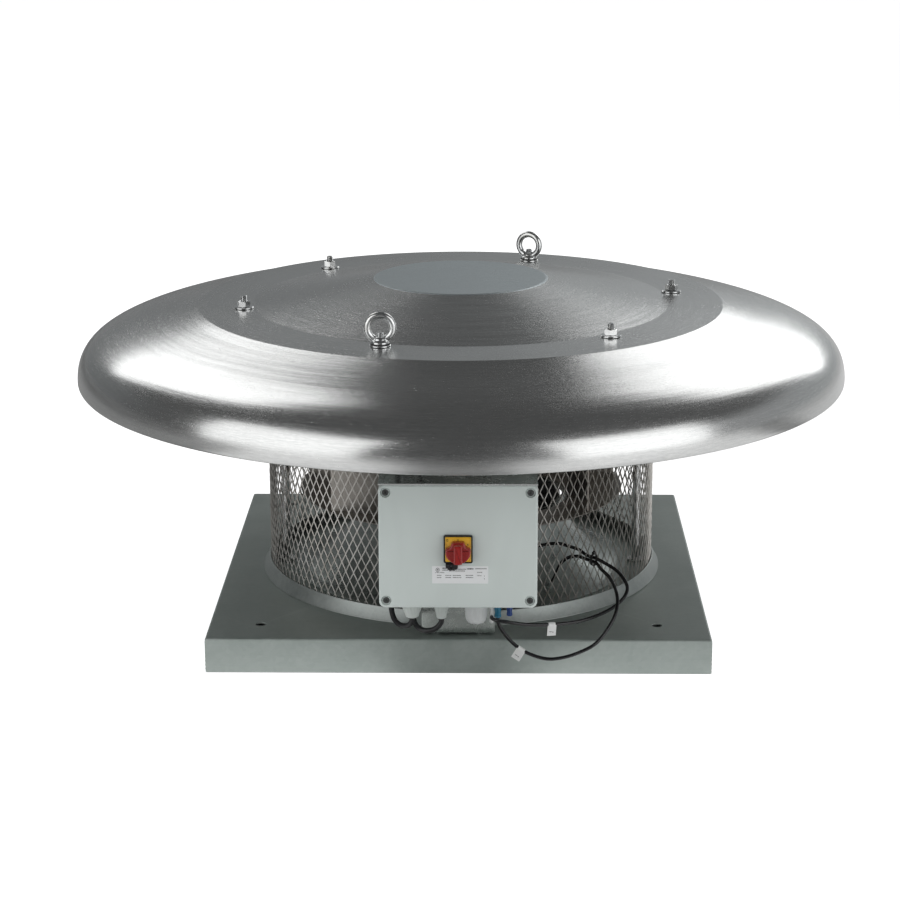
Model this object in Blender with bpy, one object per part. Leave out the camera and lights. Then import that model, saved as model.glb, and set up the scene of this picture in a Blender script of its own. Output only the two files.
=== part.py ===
"""Roof-mounted centrifugal exhaust fan with a spun aluminium hood.

Units are metres, +Z up, the air inlet underneath and the control box on the
-Y side.  The fan axis is the Z axis and z = 0 is the lower edge of the base
skirt.  Every sub-part is its own closed object with its own material.
"""
import math

import bpy
import bmesh
from mathutils import Matrix, Vector

MM = 0.001
GAP = 0.3                      # running gap between touching pieces, mm

# ---------------------------------------------------------------- base plate
BASE_SIDE = 710.0              # square base, outside
BASE_HEIGHT = 50.0             # height of the folded skirt
BASE_SHEET = 2.0
BASE_BEND = 3.0                # outside bend radius of the folded edges
BASE_INLET_R = 237.0           # opening under the inlet bell
BASE_HOLE_R = 7.0              # curb fixing holes
BASE_HOLE_X = 281.5
BASE_HOLE_Y = 294.0

# ---------------------------------------------------------------- inlet bell
BELL_FLANGE_R = 252.0
BELL_MOUTH_R = 238.0
BELL_THROAT_R = 150.0
BELL_TOP_Z = 160.0
BELL_SHEET = 2.0

# --------------------------------------------------------------- mesh guard
GUARD_R = 291.2                # outside radius of the mesh wall
GUARD_WALL = 1.8
GUARD_TOP_Z = 347.0
RING_FOOT_R = 302.6
RING_TOP_Z = 69.2
TUBE_AZIMUTH = -49.1           # where the two pressure tubes pass the mesh
TUBE_PASS_Z = 124.5

# ------------------------------------------------------- motor plate, posts
PLATE_R = 338.0
PLATE_Z = 350.0
PLATE_SHEET = 2.5
POST_CIRCLE_R = 268.0
POST_R = 6.0
POST_AZIMUTHS = (0.0, 90.0, 180.0, 270.0)

# ---------------------------------------------------------------------- hood
HOOD_SHEET = 2.0
HOOD_CAP_Z = 494.0             # flat centre disc
HOOD_CAP_R = 128.5
HOOD_BAND_IN_R = 310.0         # flat band that carries the fixings
HOOD_BAND_OUT_R = 389.3
HOOD_BAND_IN_Z = 459.0
HOOD_BAND_OUT_Z = 458.2
HOOD_RIM_R = 571.3             # widest radius
HOOD_RIM_Z = 357.0
HOOD_LIP_R = 563.5             # curled lower lip
HOOD_LIP_Z = 349.6

# ------------------------------------------------------------ hood fixings
STUD_CIRCLE_R = 324.5
STUD_FIRST_AZIMUTH = 10.8
STUD_R = 5.0
STUD_TOP_Z = 478.0
SPACER_R = 9.0
WASHER_R = 14.7
WASHER_T = 2.5
NUT_FLAT = 17.0                # across flats
NUT_H = 8.0
EYE_RING_OUT_R = 22.5
EYE_RING_HOLE_R = 12.5
EYE_COLLAR_R = 12.5
EYE_TURN = {1: -26.0, 4: 2.0}  # ring direction of the two lifting eyes

# ------------------------------------------------------------------ impeller
IMP_R = 243.5
IMP_BACK_Z = 305.0
IMP_SHEET = 2.0
IMP_EYE_R = 159.5
IMP_SHROUD_Z = 173.5           # shroud edge, middle of the sheet
BLADES = 7
BLADE_IN_R = 168.0
BLADE_OUT_R = 240.5
BLADE_TIP_AZIMUTH = 218.4
BLADE_SWEEP = 1.05             # log-spiral factor, backward curved
SHAFT_R = 9.5

# --------------------------------------------------------------- control box
BOX_CX = 1.2
BOX_CZ = 208.2
BOX_W = 214.8
BOX_H = 173.6
BOX_FRONT_Y = -426.0
BOX_BACK_Y = -340.3
BOX_LID_T = 14.0
BOX_WALL = 3.0
BOX_CORNER_R = 9.0
SCREW_DX = 97.6
SCREW_DZ = 76.5
SWITCH_X = 1.5
SWITCH_Z = 206.5
SWITCH_SIDE = 39.4
GLAND_Y = -381.0

BRACKET_SHEET = 2.0
BRACKET_FOOT_W = 102.0
BRACKET_Y = -340.0             # front face of the upright

# ---------------------------------------------------------- cables and tubes
CABLE_D = 7.5
TUBE_D = 5.0


# =============================================================== mesh helpers
def clear_scene():
    for ob in list(bpy.data.objects):
        bpy.data.objects.remove(ob, do_unlink=True)


def material(name, colour, roughness, metallic, coat=0.0):
    m = bpy.data.materials.new(name)
    m.use_nodes = True
    bsdf = m.node_tree.nodes["Principled BSDF"]
    bsdf.inputs["Base Color"].default_value = (*colour, 1.0)
    bsdf.inputs["Roughness"].default_value = roughness
    bsdf.inputs["Metallic"].default_value = metallic
    bsdf.inputs["Coat Weight"].default_value = coat
    m.diffuse_color = (*colour, 1.0)
    return m


def finish(bm, name, mat, smooth=None, origin=(0, 0, 0)):
    """Turn a bmesh drawn in world millimetres into an object in metres."""
    bmesh.ops.recalc_face_normals(bm, faces=bm.faces)
    o = Vector(origin)
    for v in bm.verts:
        v.co = (v.co - o) * MM
    me = bpy.data.meshes.new(name)
    bm.to_mesh(me)
    bm.free()
    ob = bpy.data.objects.new(name, me)
    bpy.context.scene.collection.objects.link(ob)
    ob.location = o * MM
    me.materials.append(mat)
    if smooth is not None:
        shade(ob, smooth)
    return ob


def shade(ob, angle):
    """Smooth faces, with edges sharper than the angle kept crisp."""
    me = ob.data
    for p in me.polygons:
        p.use_smooth = True
    bm = bmesh.new()
    bm.from_mesh(me)
    lim = math.radians(angle)
    for e in bm.edges:
        if len(e.link_faces) == 2:
            e.smooth = e.calc_face_angle(0.0) < lim
    bm.to_mesh(me)
    bm.free()


def revolve(name, profile, mat, segs=64, centre=(0, 0), smooth=30, origin=None, turn=0.0):
    """Closed (r, z) outline turned about a vertical axis."""
    bm = bmesh.new()
    rings = []
    for r, z in profile:
        if r < 1e-6:
            rings.append([bm.verts.new((centre[0], centre[1], z))])
        else:
            ring = []
            for i in range(segs):
                a = turn + 2 * math.pi * i / segs
                ring.append(bm.verts.new((centre[0] + r * math.cos(a), centre[1] + r * math.sin(a), z)))
            rings.append(ring)
    n = len(rings)
    for k in range(n):
        a, b = rings[k], rings[(k + 1) % n]
        if len(a) == 1 and len(b) == 1:
            continue
        for i in range(segs):
            j = (i + 1) % segs
            if len(a) == 1:
                bm.faces.new((a[0], b[i], b[j]))
            elif len(b) == 1:
                bm.faces.new((a[i], b[0], a[j]))
            else:
                bm.faces.new((a[i], b[i], b[j], a[j]))
    if origin is None:
        zs = [p[1] for p in profile]
        origin = (centre[0], centre[1], min(zs))
    return finish(bm, name, mat, smooth, origin)


def sheet(points, t, side=-1.0):
    """Closed outline of a bent sheet: points on one face, t mm to one side."""
    pts = [Vector(p) for p in points]
    out = []
    for i, p in enumerate(pts):
        d = Vector((0, 0))
        if i > 0:
            d += (p - pts[i - 1]).normalized()
        if i < len(pts) - 1:
            d += (pts[i + 1] - p).normalized()
        d.normalize()
        nrm = Vector((d.y, -d.x)) * side
        k = 1.0
        if 0 < i < len(pts) - 1:
            e = (pts[i + 1] - p).normalized()
            k = 1.0 / max(0.5, abs(d.dot(e)))
        q = p + nrm * t * k
        if abs(p.x) < 1e-6:
            q.x = 0.0
        out.append(q)
    return [tuple(p) for p in pts] + [tuple(p) for p in reversed(out)]


def bezier(p0, p1, p2, p3, n):
    out = []
    for i in range(n + 1):
        u = i / n
        v = 1 - u
        out.append(tuple(v ** 3 * a + 3 * v * v * u * b + 3 * v * u * u * c + u ** 3 * d
                         for a, b, c, d in zip(p0, p1, p2, p3)))
    return out


def block(name, lo, hi, mat, bevel=0.0, bsegs=2, smooth=None, origin=None):
    bm = bmesh.new()
    bmesh.ops.create_cube(bm, size=1.0)
    c = [(a + b) / 2 for a, b in zip(lo, hi)]
    s = [b - a for a, b in zip(lo, hi)]
    for v in bm.verts:
        v.co = Vector((c[0] + v.co.x * s[0], c[1] + v.co.y * s[1], c[2] + v.co.z * s[2]))
    if bevel > 0:
        bmesh.ops.bevel(bm, geom=list(bm.edges), offset=bevel, segments=bsegs, affect='EDGES', profile=0.5)
    return finish(bm, name, mat, smooth, origin or c)


def rounded_rect(cx, cz, w, h, r, n=4):
    pts = []
    for k, (sx, sz) in enumerate(((1, 1), (-1, 1), (-1, -1), (1, -1))):
        for i in range(n + 1):
            a = math.radians(90 * k + 90 * i / n)
            pts.append((cx + sx * (w / 2 - r) + r * math.cos(a), cz + sz * (h / 2 - r) + r * math.sin(a)))
    return pts


def prism_y(name, outline, y0, y1, mat, smooth=None, front_bevel=0.0, origin=None):
    """(x, z) outline extruded along Y; the front is the low-Y end."""
    bm = bmesh.new()
    lo = [bm.verts.new((x, y0, z)) for x, z in outline]
    hi = [bm.verts.new((x, y1, z)) for x, z in outline]
    n = len(outline)
    front = bm.faces.new(lo)
    bm.faces.new(list(reversed(hi)))
    for i in range(n):
        j = (i + 1) % n
        bm.faces.new((lo[j], lo[i], hi[i], hi[j]))
    if front_bevel > 0:
        bmesh.ops.bevel(bm, geom=list(front.edges), offset=front_bevel, segments=3, affect='EDGES', profile=0.5)
    if origin is None:
        xs = [p[0] for p in outline]
        zs = [p[1] for p in outline]
        origin = ((min(xs) + max(xs)) / 2, (y0 + y1) / 2, (min(zs) + max(zs)) / 2)
    return finish(bm, name, mat, smooth, origin)


def cylinder(name, p0, p1, r, mat, segs=24, smooth=30, origin=None):
    """Plain round bar between two points."""
    a, b = Vector(p0), Vector(p1)
    d = (b - a)
    rot = d.to_track_quat('Z', 'Y').to_matrix()
    bm = bmesh.new()
    r0, r1 = [], []
    for i in range(segs):
        t = 2 * math.pi * i / segs
        off = rot @ Vector((r * math.cos(t), r * math.sin(t), 0))
        r0.append(bm.verts.new(a + off))
        r1.append(bm.verts.new(b + off))
    bm.faces.new(list(reversed(r0)))
    bm.faces.new(r1)
    for i in range(segs):
        j = (i + 1) % segs
        bm.faces.new((r0[i], r0[j], r1[j], r1[i]))
    return finish(bm, name, mat, smooth, origin or tuple(a))


def combine(ob, others, op, angle=None):
    """Exact Boolean of one or more helpers into an object, then drop them."""
    for o in others:
        mod = ob.modifiers.new("b", 'BOOLEAN')
        mod.operation = op
        mod.solver = 'EXACT'
        mod.object = o
        bpy.context.view_layer.update()
        dg = bpy.context.evaluated_depsgraph_get()
        me = bpy.data.meshes.new_from_object(ob.evaluated_get(dg))
        ob.modifiers.clear()
        old = ob.data
        mats = [m for m in old.materials]
        ob.data = me
        me.materials.clear()
        for m in mats:
            me.materials.append(m)
        for p in me.polygons:
            p.material_index = 0
        bpy.data.meshes.remove(old)
        bpy.data.objects.remove(o, do_unlink=True)
    bm = bmesh.new()
    bm.from_mesh(ob.data)
    bmesh.ops.remove_doubles(bm, verts=bm.verts, dist=0.00002)
    bmesh.ops.dissolve_degenerate(bm, edges=bm.edges, dist=0.00001)
    bm.to_mesh(ob.data)
    bm.free()
    ob.data.name = ob.name
    if angle is not None:
        shade(ob, angle)
    return ob


def cut(ob, helpers, angle=None):
    return combine(ob, helpers, 'DIFFERENCE', angle)


def join(ob, helpers, angle=None):
    return combine(ob, helpers, 'UNION', angle)


def polar(r, deg, z=0.0):
    a = math.radians(deg)
    return Vector((r * math.cos(a), r * math.sin(a), z))


def smooth_path(points, step):
    """Centripetal Catmull-Rom through the points, resampled at even steps."""
    P = [Vector(p) for p in points]
    P = [P[0] * 2 - P[1]] + P + [P[-1] * 2 - P[-2]]
    fine = []
    for i in range(1, len(P) - 2):
        p0, p1, p2, p3 = P[i - 1], P[i], P[i + 1], P[i + 2]
        t0 = 0.0
        t1 = t0 + (p1 - p0).length ** 0.5
        t2 = t1 + (p2 - p1).length ** 0.5
        t3 = t2 + (p3 - p2).length ** 0.5
        for k in range(24):
            t = t1 + (t2 - t1) * k / 24
            a1 = p0 * ((t1 - t) / (t1 - t0)) + p1 * ((t - t0) / (t1 - t0))
            a2 = p1 * ((t2 - t) / (t2 - t1)) + p2 * ((t - t1) / (t2 - t1))
            a3 = p2 * ((t3 - t) / (t3 - t2)) + p3 * ((t - t2) / (t3 - t2))
            b1 = a1 * ((t2 - t) / (t2 - t0)) + a2 * ((t - t0) / (t2 - t0))
            b2 = a2 * ((t3 - t) / (t3 - t1)) + a3 * ((t - t1) / (t3 - t1))
            fine.append(b1 * ((t2 - t) / (t2 - t1)) + b2 * ((t - t1) / (t2 - t1)))
    fine.append(P[-2])
    for _ in range(6):                        # relax small kinks, ends held
        new = [fine[0], fine[1]]
        for i in range(2, len(fine) - 2):
            new.append(fine[i] * 0.5 + (fine[i - 1] + fine[i + 1]) * 0.25)
        fine = new + [fine[-2], fine[-1]]
    total = sum((b - a).length for a, b in zip(fine, fine[1:]))
    n = max(8, round(total / step))
    out = [fine[0]]
    acc, want, i = 0.0, total / n, 0
    for a, b in zip(fine, fine[1:]):
        seg = (b - a).length
        while seg > 0 and acc + seg >= want * len(out) - 1e-9 and len(out) < n:
            out.append(a.lerp(b, (want * len(out) - acc) / seg))
        acc += seg
    out.append(fine[-1])
    # a short straight length at each end keeps the end faces square
    out.insert(1, out[0] + (fine[1] - fine[0]).normalized() * 4.0)
    out.insert(-1, out[-1] + (fine[-2] - fine[-1]).normalized() * 4.0)
    return out


def tube_object(name, points, d, mat, step):
    pts = smooth_path(points, step)
    cu = bpy.data.curves.new(name, 'CURVE')
    cu.dimensions = '3D'
    cu.bevel_depth = d / 2 * MM
    cu.bevel_resolution = 2
    cu.use_fill_caps = True
    sp = cu.splines.new('POLY')
    sp.points.add(len(pts) - 1)
    for q, p in zip(sp.points, pts):
        q.co = (p.x * MM, p.y * MM, p.z * MM, 1.0)
    cu.materials.append(mat)
    ob = bpy.data.objects.new(name, cu)
    bpy.context.scene.collection.objects.link(ob)
    return ob


def pivot(name, loc, children):
    e = bpy.data.objects.new(name, None)
    e.empty_display_size = 0.05
    e.location = Vector(loc) * MM
    bpy.context.scene.collection.objects.link(e)
    bpy.context.view_layer.update()
    for c in children:
        c.parent = e
        c.matrix_parent_inverse = e.matrix_world.inverted()
    return e


# ================================================================= materials
def make_materials():
    return {
        "galvanised": material("galvanised_sheet", (0.26, 0.29, 0.28), 0.45, 0.85),
        "ring": material("galvanised_ring", (0.45, 0.48, 0.47), 0.35, 0.9),
        "mesh": material("expanded_mesh", (0.42, 0.40, 0.37), 0.45, 0.9),
        "spun": material("spun_aluminium", (0.62, 0.63, 0.63), 0.28, 1.0),
        "bell": material("inlet_sheet", (0.40, 0.43, 0.42), 0.35, 0.9),
        "impeller": material("impeller_sheet", (0.36, 0.33, 0.30), 0.4, 0.9),
        "motor": material("motor_paint", (0.05, 0.055, 0.06), 0.5, 0.2),
        "steel": material("zinc_steel", (0.62, 0.62, 0.60), 0.25, 1.0),
        "box": material("box_plastic", (0.44, 0.51, 0.47), 0.45, 0.0),
        "gland": material("gland_plastic", (0.52, 0.56, 0.53), 0.5, 0.0),
        "white": material("white_plastic", (0.78, 0.78, 0.77), 0.45, 0.0),
        "blue": material("blue_plastic", (0.02, 0.20, 0.38), 0.35, 0.0),
        "black": material("black_plastic", (0.02, 0.02, 0.02), 0.45, 0.0),
        "yellow": material("yellow_plastic", (0.75, 0.42, 0.03), 0.4, 0.0),
        "red": material("red_plastic", (0.42, 0.015, 0.01), 0.35, 0.0),
        "cable": material("cable_rubber", (0.012, 0.012, 0.012), 0.5, 0.0),
    }


# ====================================================================== parts
def make_base(M):
    s, h, t = BASE_SIDE / 2, BASE_HEIGHT, BASE_SHEET
    base = block("base_plate", (-s, -s, 0), (s, s, h), M["galvanised"], origin=(0, 0, 0))
    bm = bmesh.new()
    bm.from_mesh(base.data)
    keep = [e for e in bm.edges if not all(v.co.z < 1e-5 for v in e.verts)]
    bmesh.ops.bevel(bm, geom=keep, offset=BASE_BEND * MM, segments=2, affect='EDGES', profile=0.5)
    bm.to_mesh(base.data)
    bm.free()
    inner = block("cut", (-s + t, -s + t, -20), (s - t, s - t, h - t), M["galvanised"])
    helpers = [inner, cylinder("cut", (0, 0, h - 10), (0, 0, h + 10), BASE_INLET_R, M["galvanised"], 60)]
    for sx in (-1, 1):
        for sy in (-1, 1):
            helpers.append(cylinder("cut", (sx * BASE_HOLE_X, sy * BASE_HOLE_Y, h - 10),
                                    (sx * BASE_HOLE_X, sy * BASE_HOLE_Y, h + 10), BASE_HOLE_R, M["galvanised"], 16))
    cut(base, helpers, 30)
    return base


def bell_curve(n=6):
    """Outer face of the inlet bell from its flange up to the throat."""
    z0 = BASE_HEIGHT + GAP + BELL_SHEET
    return bezier((BELL_MOUTH_R, z0), (202, z0 + 14), (BELL_THROAT_R + 3, 112), (BELL_THROAT_R + 1, BELL_TOP_Z), n)


def make_bell(M):
    z0 = BASE_HEIGHT + GAP + BELL_SHEET
    face = [(BELL_FLANGE_R, z0)] + bell_curve()
    bell = revolve("inlet_bell", sheet(face, BELL_SHEET, side=-1.0), M["bell"], 44)
    taps = []
    for p in TAPS:
        taps.append(cylinder("tap", p["root"], p["tip"], 3.2, M["bell"], 8))
    join(bell, taps, 30)
    return bell


def on_bell(az, r):
    """Point and outward normal on the bell's outer face at radius r."""
    pts = bell_curve(40)
    for (r0, z0), (r1, z1) in zip(pts, pts[1:]):
        if r1 <= r <= r0:
            u = (r0 - r) / (r0 - r1)
            z = z0 + (z1 - z0) * u
            nr, nz = (z1 - z0), (r0 - r1)
            l = math.hypot(nr, nz)
            a = math.radians(az)
            return (Vector((r * math.cos(a), r * math.sin(a), z)),
                    Vector((math.cos(a) * nr / l, math.sin(a) * nr / l, nz / l)))
    raise ValueError(r)


def tap(az, r, length=9.0):
    p, n = on_bell(az, r)
    return {"root": tuple(p - n * 1.0), "tip": tuple(p + n * length), "dir": n}


TAPS = (tap(-68.0, 172.0), tap(-52.0, 214.0))


def make_guard(M):
    z0 = BASE_HEIGHT + GAP
    ring = revolve("guard_bottom_ring",
                   [(RING_FOOT_R, z0), (RING_FOOT_R, z0 + 1.3), (GUARD_R + 2.4, RING_TOP_Z), (GUARD_R + 0.6, RING_TOP_Z),
                    (RING_FOOT_R - 3.9, z0)], M["ring"], 56)
    wall = revolve("guard_mesh", [(GUARD_R, z0), (GUARD_R, GUARD_TOP_Z), (GUARD_R - GUARD_WALL, GUARD_TOP_Z),
                                  (GUARD_R - GUARD_WALL, z0)], M["mesh"], 56)
    # one diamond of the mesh is open where the pressure tubes pass through
    w, h = 7.6, 12.6
    bm = bmesh.new()
    ring_in, ring_out = [], []
    for du, dz in ((w, 0), (0, h), (-w, 0), (0, -h)):
        for lst, r in ((ring_in, GUARD_R - 12), (ring_out, GUARD_R + 12)):
            c = polar(r, TUBE_AZIMUTH, TUBE_PASS_Z + dz)
            t = polar(1, TUBE_AZIMUTH + 90)
            lst.append(bm.verts.new(c + t * du))
    bm.faces.new(ring_in)
    bm.faces.new(list(reversed(ring_out)))
    for i in range(4):
        j = (i + 1) % 4
        bm.faces.new((ring_in[j], ring_in[i], ring_out[i], ring_out[j]))
    cut(wall, [finish(bm, "cut", M["mesh"])], 30)
    top = revolve("guard_top_ring",
                  [(GUARD_R + 0.6, 330), (GUARD_R + 2.1, 330), (GUARD_R + 2.1, 348.1), (306, 348.1), (306, 349.6),
                   (GUARD_R + 0.6, 349.6)], M["ring"], 56)
    return ring, wall, top


def stud_azimuths():
    return [STUD_FIRST_AZIMUTH + 60 * i for i in range(6)]


CABLE_HOLES = ((-84.0, -304.0), (-52.0, -311.0))


def make_plate(M):
    z0, z1 = PLATE_Z, PLATE_Z + PLATE_SHEET
    plate = revolve("motor_plate", [(26, z0), (PLATE_R, z0), (PLATE_R, z1), (26, z1)], M["galvanised"], 48, turn=0.021)
    helpers = [cylinder("cut", (x, y, z0 - 5), (x, y, z1 + 5), 5.5, M["galvanised"], 14) for x, y in CABLE_HOLES]
    for a in POST_AZIMUTHS:
        p = polar(POST_CIRCLE_R, a)
        helpers.append(cylinder("cut", (p.x, p.y, z0 - 5), (p.x, p.y, z1 + 5), 4.5, M["galvanised"], 12))
    cut(plate, helpers)
    studs = []
    for a in stud_azimuths():
        p = polar(STUD_CIRCLE_R, a)
        studs.append(revolve("stud", [(0, z0 + 1), (SPACER_R, z0 + 1), (SPACER_R, 456.4), (STUD_R, 456.4),
                                      (STUD_R, STUD_TOP_Z - 1), (STUD_R - 1, STUD_TOP_Z), (0, STUD_TOP_Z)],
                             M["galvanised"], 10, (p.x, p.y)))
    join(plate, studs, 30)
    return plate


def make_posts(M):
    out = []
    z0 = BASE_HEIGHT + GAP
    for i, a in enumerate(POST_AZIMUTHS):
        p = polar(POST_CIRCLE_R, a)
        out.append(revolve("support_post_%d" % (i + 1),
                           [(0, z0), (13, z0), (13, z0 + 4), (POST_R, z0 + 4), (POST_R, PLATE_Z - GAP),
                            (4.1, PLATE_Z - GAP), (4.1, PLATE_Z + PLATE_SHEET + GAP),
                            (7.5, PLATE_Z + PLATE_SHEET + GAP), (0, PLATE_Z + PLATE_SHEET + 4.0)],
                           M["steel"], 12, (p.x, p.y)))
    return out


def hood_face():
    """Outer face of the hood from the axis down to the curled lip."""
    pts = [(0.0, HOOD_CAP_Z), (HOOD_CAP_R - 1.0, HOOD_CAP_Z), (HOOD_CAP_R + 1.4, HOOD_CAP_Z - 1.0)]
    pts += [(HOOD_BAND_IN_R, HOOD_BAND_IN_Z), (HOOD_BAND_OUT_R, HOOD_BAND_OUT_Z)]
    pts += bezier((HOOD_BAND_OUT_R, HOOD_BAND_OUT_Z), (494.7, 426.6), (HOOD_RIM_R, 428.9),
                  (HOOD_RIM_R, HOOD_RIM_Z), 9)[1:]
    pts += [(HOOD_RIM_R - 0.8, HOOD_RIM_Z - 3.8), (HOOD_RIM_R - 3.6, HOOD_LIP_Z + 0.8), (HOOD_LIP_R, HOOD_LIP_Z)]
    return pts


def make_hood(M):
    hood = revolve("hood", sheet(hood_face(), HOOD_SHEET, side=1.0), M["spun"], 52, origin=(0, 0, HOOD_LIP_Z))
    helpers = []
    for a in stud_azimuths():
        p = polar(STUD_CIRCLE_R, a)
        helpers.append(cylinder("cut", (p.x, p.y, 440), (p.x, p.y, 475), STUD_R + 0.5, M["spun"], 12))
    cut(hood, helpers, 20)
    return hood


def hexagon(r_flat, z0, z1, centre, bore, name, mat, turn):
    """Hexagon nut with chamfered corners and a plain bore."""
    bm = bmesh.new()
    rc = r_flat / math.cos(math.pi / 6)
    rows = []
    n = 12
    for r, z, corner in ((bore, z0, 0), (r_flat, z0, 0), (rc, z0 + 1.0, 1), (rc, z1 - 1.0, 1), (r_flat, z1, 0), (bore, z1, 0)):
        row = []
        for i in range(n):
            a = 2 * math.pi * i / n
            rr = r
            if corner:
                m = (a % (math.pi / 3)) - math.pi / 6
                rr = r_flat / math.cos(m)
            row.append(bm.verts.new((centre[0] + rr * math.cos(a + turn), centre[1] + rr * math.sin(a + turn), z)))
        rows.append(row)
    for k in range(len(rows)):
        a, b = rows[k], rows[(k + 1) % len(rows)]
        for i in range(n):
            j = (i + 1) % n
            bm.faces.new((a[i], b[i], b[j], a[j]))
    return finish(bm, name, mat, None, (centre[0], centre[1], z0))


def make_fixings(M):
    out = []
    zw = HOOD_BAND_IN_Z + GAP
    zn = zw + WASHER_T + GAP
    nuts = 0
    eyes = 0
    for i, a in enumerate(stud_azimuths()):
        p = polar(STUD_CIRCLE_R, a)
        c = (p.x, p.y)
        bore = STUD_R + 0.35
        out.append(revolve("stud_washer_%d" % (i + 1),
                           [(bore, zw), (WASHER_R, zw), (WASHER_R, zw + WASHER_T), (bore, zw + WASHER_T)],
                           M["steel"], 16, c))
        if i in EYE_TURN:
            eyes += 1
            zc = zn + EYE_RING_OUT_R
            collar = revolve("eye_nut_%d" % eyes,
                             [(0, zn), (EYE_COLLAR_R - 0.8, zn), (EYE_COLLAR_R, zn + 0.8), (EYE_COLLAR_R, zn + 3.4),
                              (10.6, zn + 5.0), (8.8, zn + 8.2), (0, zn + 8.2)], M["steel"], 18, c)
            R = (EYE_RING_OUT_R + EYE_RING_HOLE_R) / 2
            r = (EYE_RING_OUT_R - EYE_RING_HOLE_R) / 2
            turn = math.radians(EYE_TURN[i])
            bm = bmesh.new()
            rows = []
            for u in range(22):
                t = 2 * math.pi * u / 22
                row = []
                for v in range(8):
                    q = 2 * math.pi * v / 8
                    x = (R + r * math.cos(q)) * math.cos(t)
                    z = (R + r * math.cos(q)) * math.sin(t)
                    y = r * math.sin(q)
                    row.append(bm.verts.new((c[0] + x * math.cos(turn) - y * math.sin(turn),
                                             c[1] + x * math.sin(turn) + y * math.cos(turn), zc + z)))
                rows.append(row)
            for u in range(22):
                for v in range(8):
                    u2, v2 = (u + 1) % 22, (v + 1) % 8
                    bm.faces.new((rows[u][v], rows[u2][v], rows[u2][v2], rows[u][v2]))
            ring = finish(bm, "ring", M["steel"])
            join(collar, [ring])
            cut(collar, [cylinder("cut", (c[0], c[1], zn - 5), (c[0], c[1], zc), bore, M["steel"], 12)], 30)
            out.append(collar)
        else:
            nuts += 1
            out.append(hexagon(NUT_FLAT / 2, zn, zn + NUT_H, c, bore, "hood_nut_%d" % nuts, M["steel"],
                               math.radians(17 * i)))
    return out


def shroud_face():
    """Upper face of the impeller's inlet shroud, eye to rim."""
    return [(IMP_EYE_R, 149.0), (IMP_EYE_R + 0.4, 157.0), (IMP_EYE_R + 3.5, 162.6), (IMP_EYE_R + 11, 166.8),
            (190, 170.4), (215, 172.9), (IMP_R, 174.5)]


def shroud_top(r):
    pts = shroud_face()
    for (r0, z0), (r1, z1) in zip(pts, pts[1:]):
        if r0 <= r <= r1:
            return z0 + (z1 - z0) * (r - r0) / (r1 - r0)
    return pts[-1][1]


def make_impeller(M):
    parts = []
    back = revolve("impeller_backplate", [(21.0, IMP_BACK_Z), (IMP_R, IMP_BACK_Z), (IMP_R, IMP_BACK_Z + 2.5),
                                          (21.0, IMP_BACK_Z + 2.5)], M["impeller"], 40)
    parts.append(back)
    # sheet below the working face: walk eye to rim, thickness on the under side
    parts.append(revolve("impeller_shroud", sheet(shroud_face(), IMP_SHEET, side=1.0), M["impeller"], 40))
    step = 360.0 / BLADES
    n = 7
    for b in range(BLADES):
        tip = math.radians(BLADE_TIP_AZIMUTH + step * b)
        bm = bmesh.new()
        rows = []
        for i in range(n + 1):
            r = BLADE_IN_R + (BLADE_OUT_R - BLADE_IN_R) * i / n
            th = tip + BLADE_SWEEP * math.log(BLADE_OUT_R / r)
            c = Vector((r * math.cos(th), r * math.sin(th), 0))
            er = Vector((math.cos(th), math.sin(th), 0))
            et = Vector((-math.sin(th), math.cos(th), 0))
            d = (er - et * BLADE_SWEEP).normalized()
            nn = Vector((-d.y, d.x, 0))
            lo = max(shroud_top(r - 1.6), shroud_top(min(r + 1.6, IMP_R))) + GAP + 0.15
            hi = IMP_BACK_Z - GAP
            row = []
            for s in (-1, 1):
                q = c + nn * s * IMP_SHEET / 2
                row.append(bm.verts.new((q.x, q.y, lo)))
                row.append(bm.verts.new((q.x, q.y, hi)))
            rows.append(row)
        for a, c2 in zip(rows, rows[1:]):
            bm.faces.new((a[0], c2[0], c2[1], a[1]))
            bm.faces.new((a[2], a[3], c2[3], c2[2]))
            bm.faces.new((a[0], a[2], c2[2], c2[0]))
            bm.faces.new((a[1], c2[1], c2[3], a[3]))
        for row in (rows[0], rows[-1]):
            bm.faces.new((row[0], row[1], row[3], row[2]))
        parts.append(finish(bm, "impeller_blade_%d" % (b + 1), M["impeller"], 40, (0, 0, IMP_BACK_Z)))
    parts.append(revolve("impeller_hub",
                         [(SHAFT_R + 0.3, 288), (20.5, 288), (20.5, IMP_BACK_Z + 2.8), (48, IMP_BACK_Z + 2.8),
                          (48, IMP_BACK_Z + 8), (24, IMP_BACK_Z + 9), (22.5, 336), (SHAFT_R + 0.3, 336)],
                         M["steel"], 24))
    parts.append(revolve("motor_rotor",
                         [(0, 284), (SHAFT_R - 1, 284), (SHAFT_R, 285), (SHAFT_R, 392), (60, 392), (60, 446),
                          (SHAFT_R, 446), (SHAFT_R, 461), (0, 461)], M["steel"], 24))
    for p in parts:                       # every rotating piece turns about the fan axis
        dz = p.location.copy()
        p.location = (0, 0, IMP_BACK_Z * MM)
        off = dz - p.location
        for v in p.data.vertices:
            v.co += off
    pivot("impeller_axis", (0, 0, IMP_BACK_Z), parts)
    return parts


def make_motor(M):
    z0 = PLATE_Z + PLATE_SHEET + GAP
    housing = revolve("motor_housing",
                      [(0, 479), (58, 479), (86, 471), (94, 459), (94, z0 + 9), (112, z0 + 8), (112, z0), (14, z0),
                       (14, z0 + 9), (62.5, z0 + 9), (62.5, 464), (0, 464)], M["motor"], 28)
    return [housing]


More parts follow.
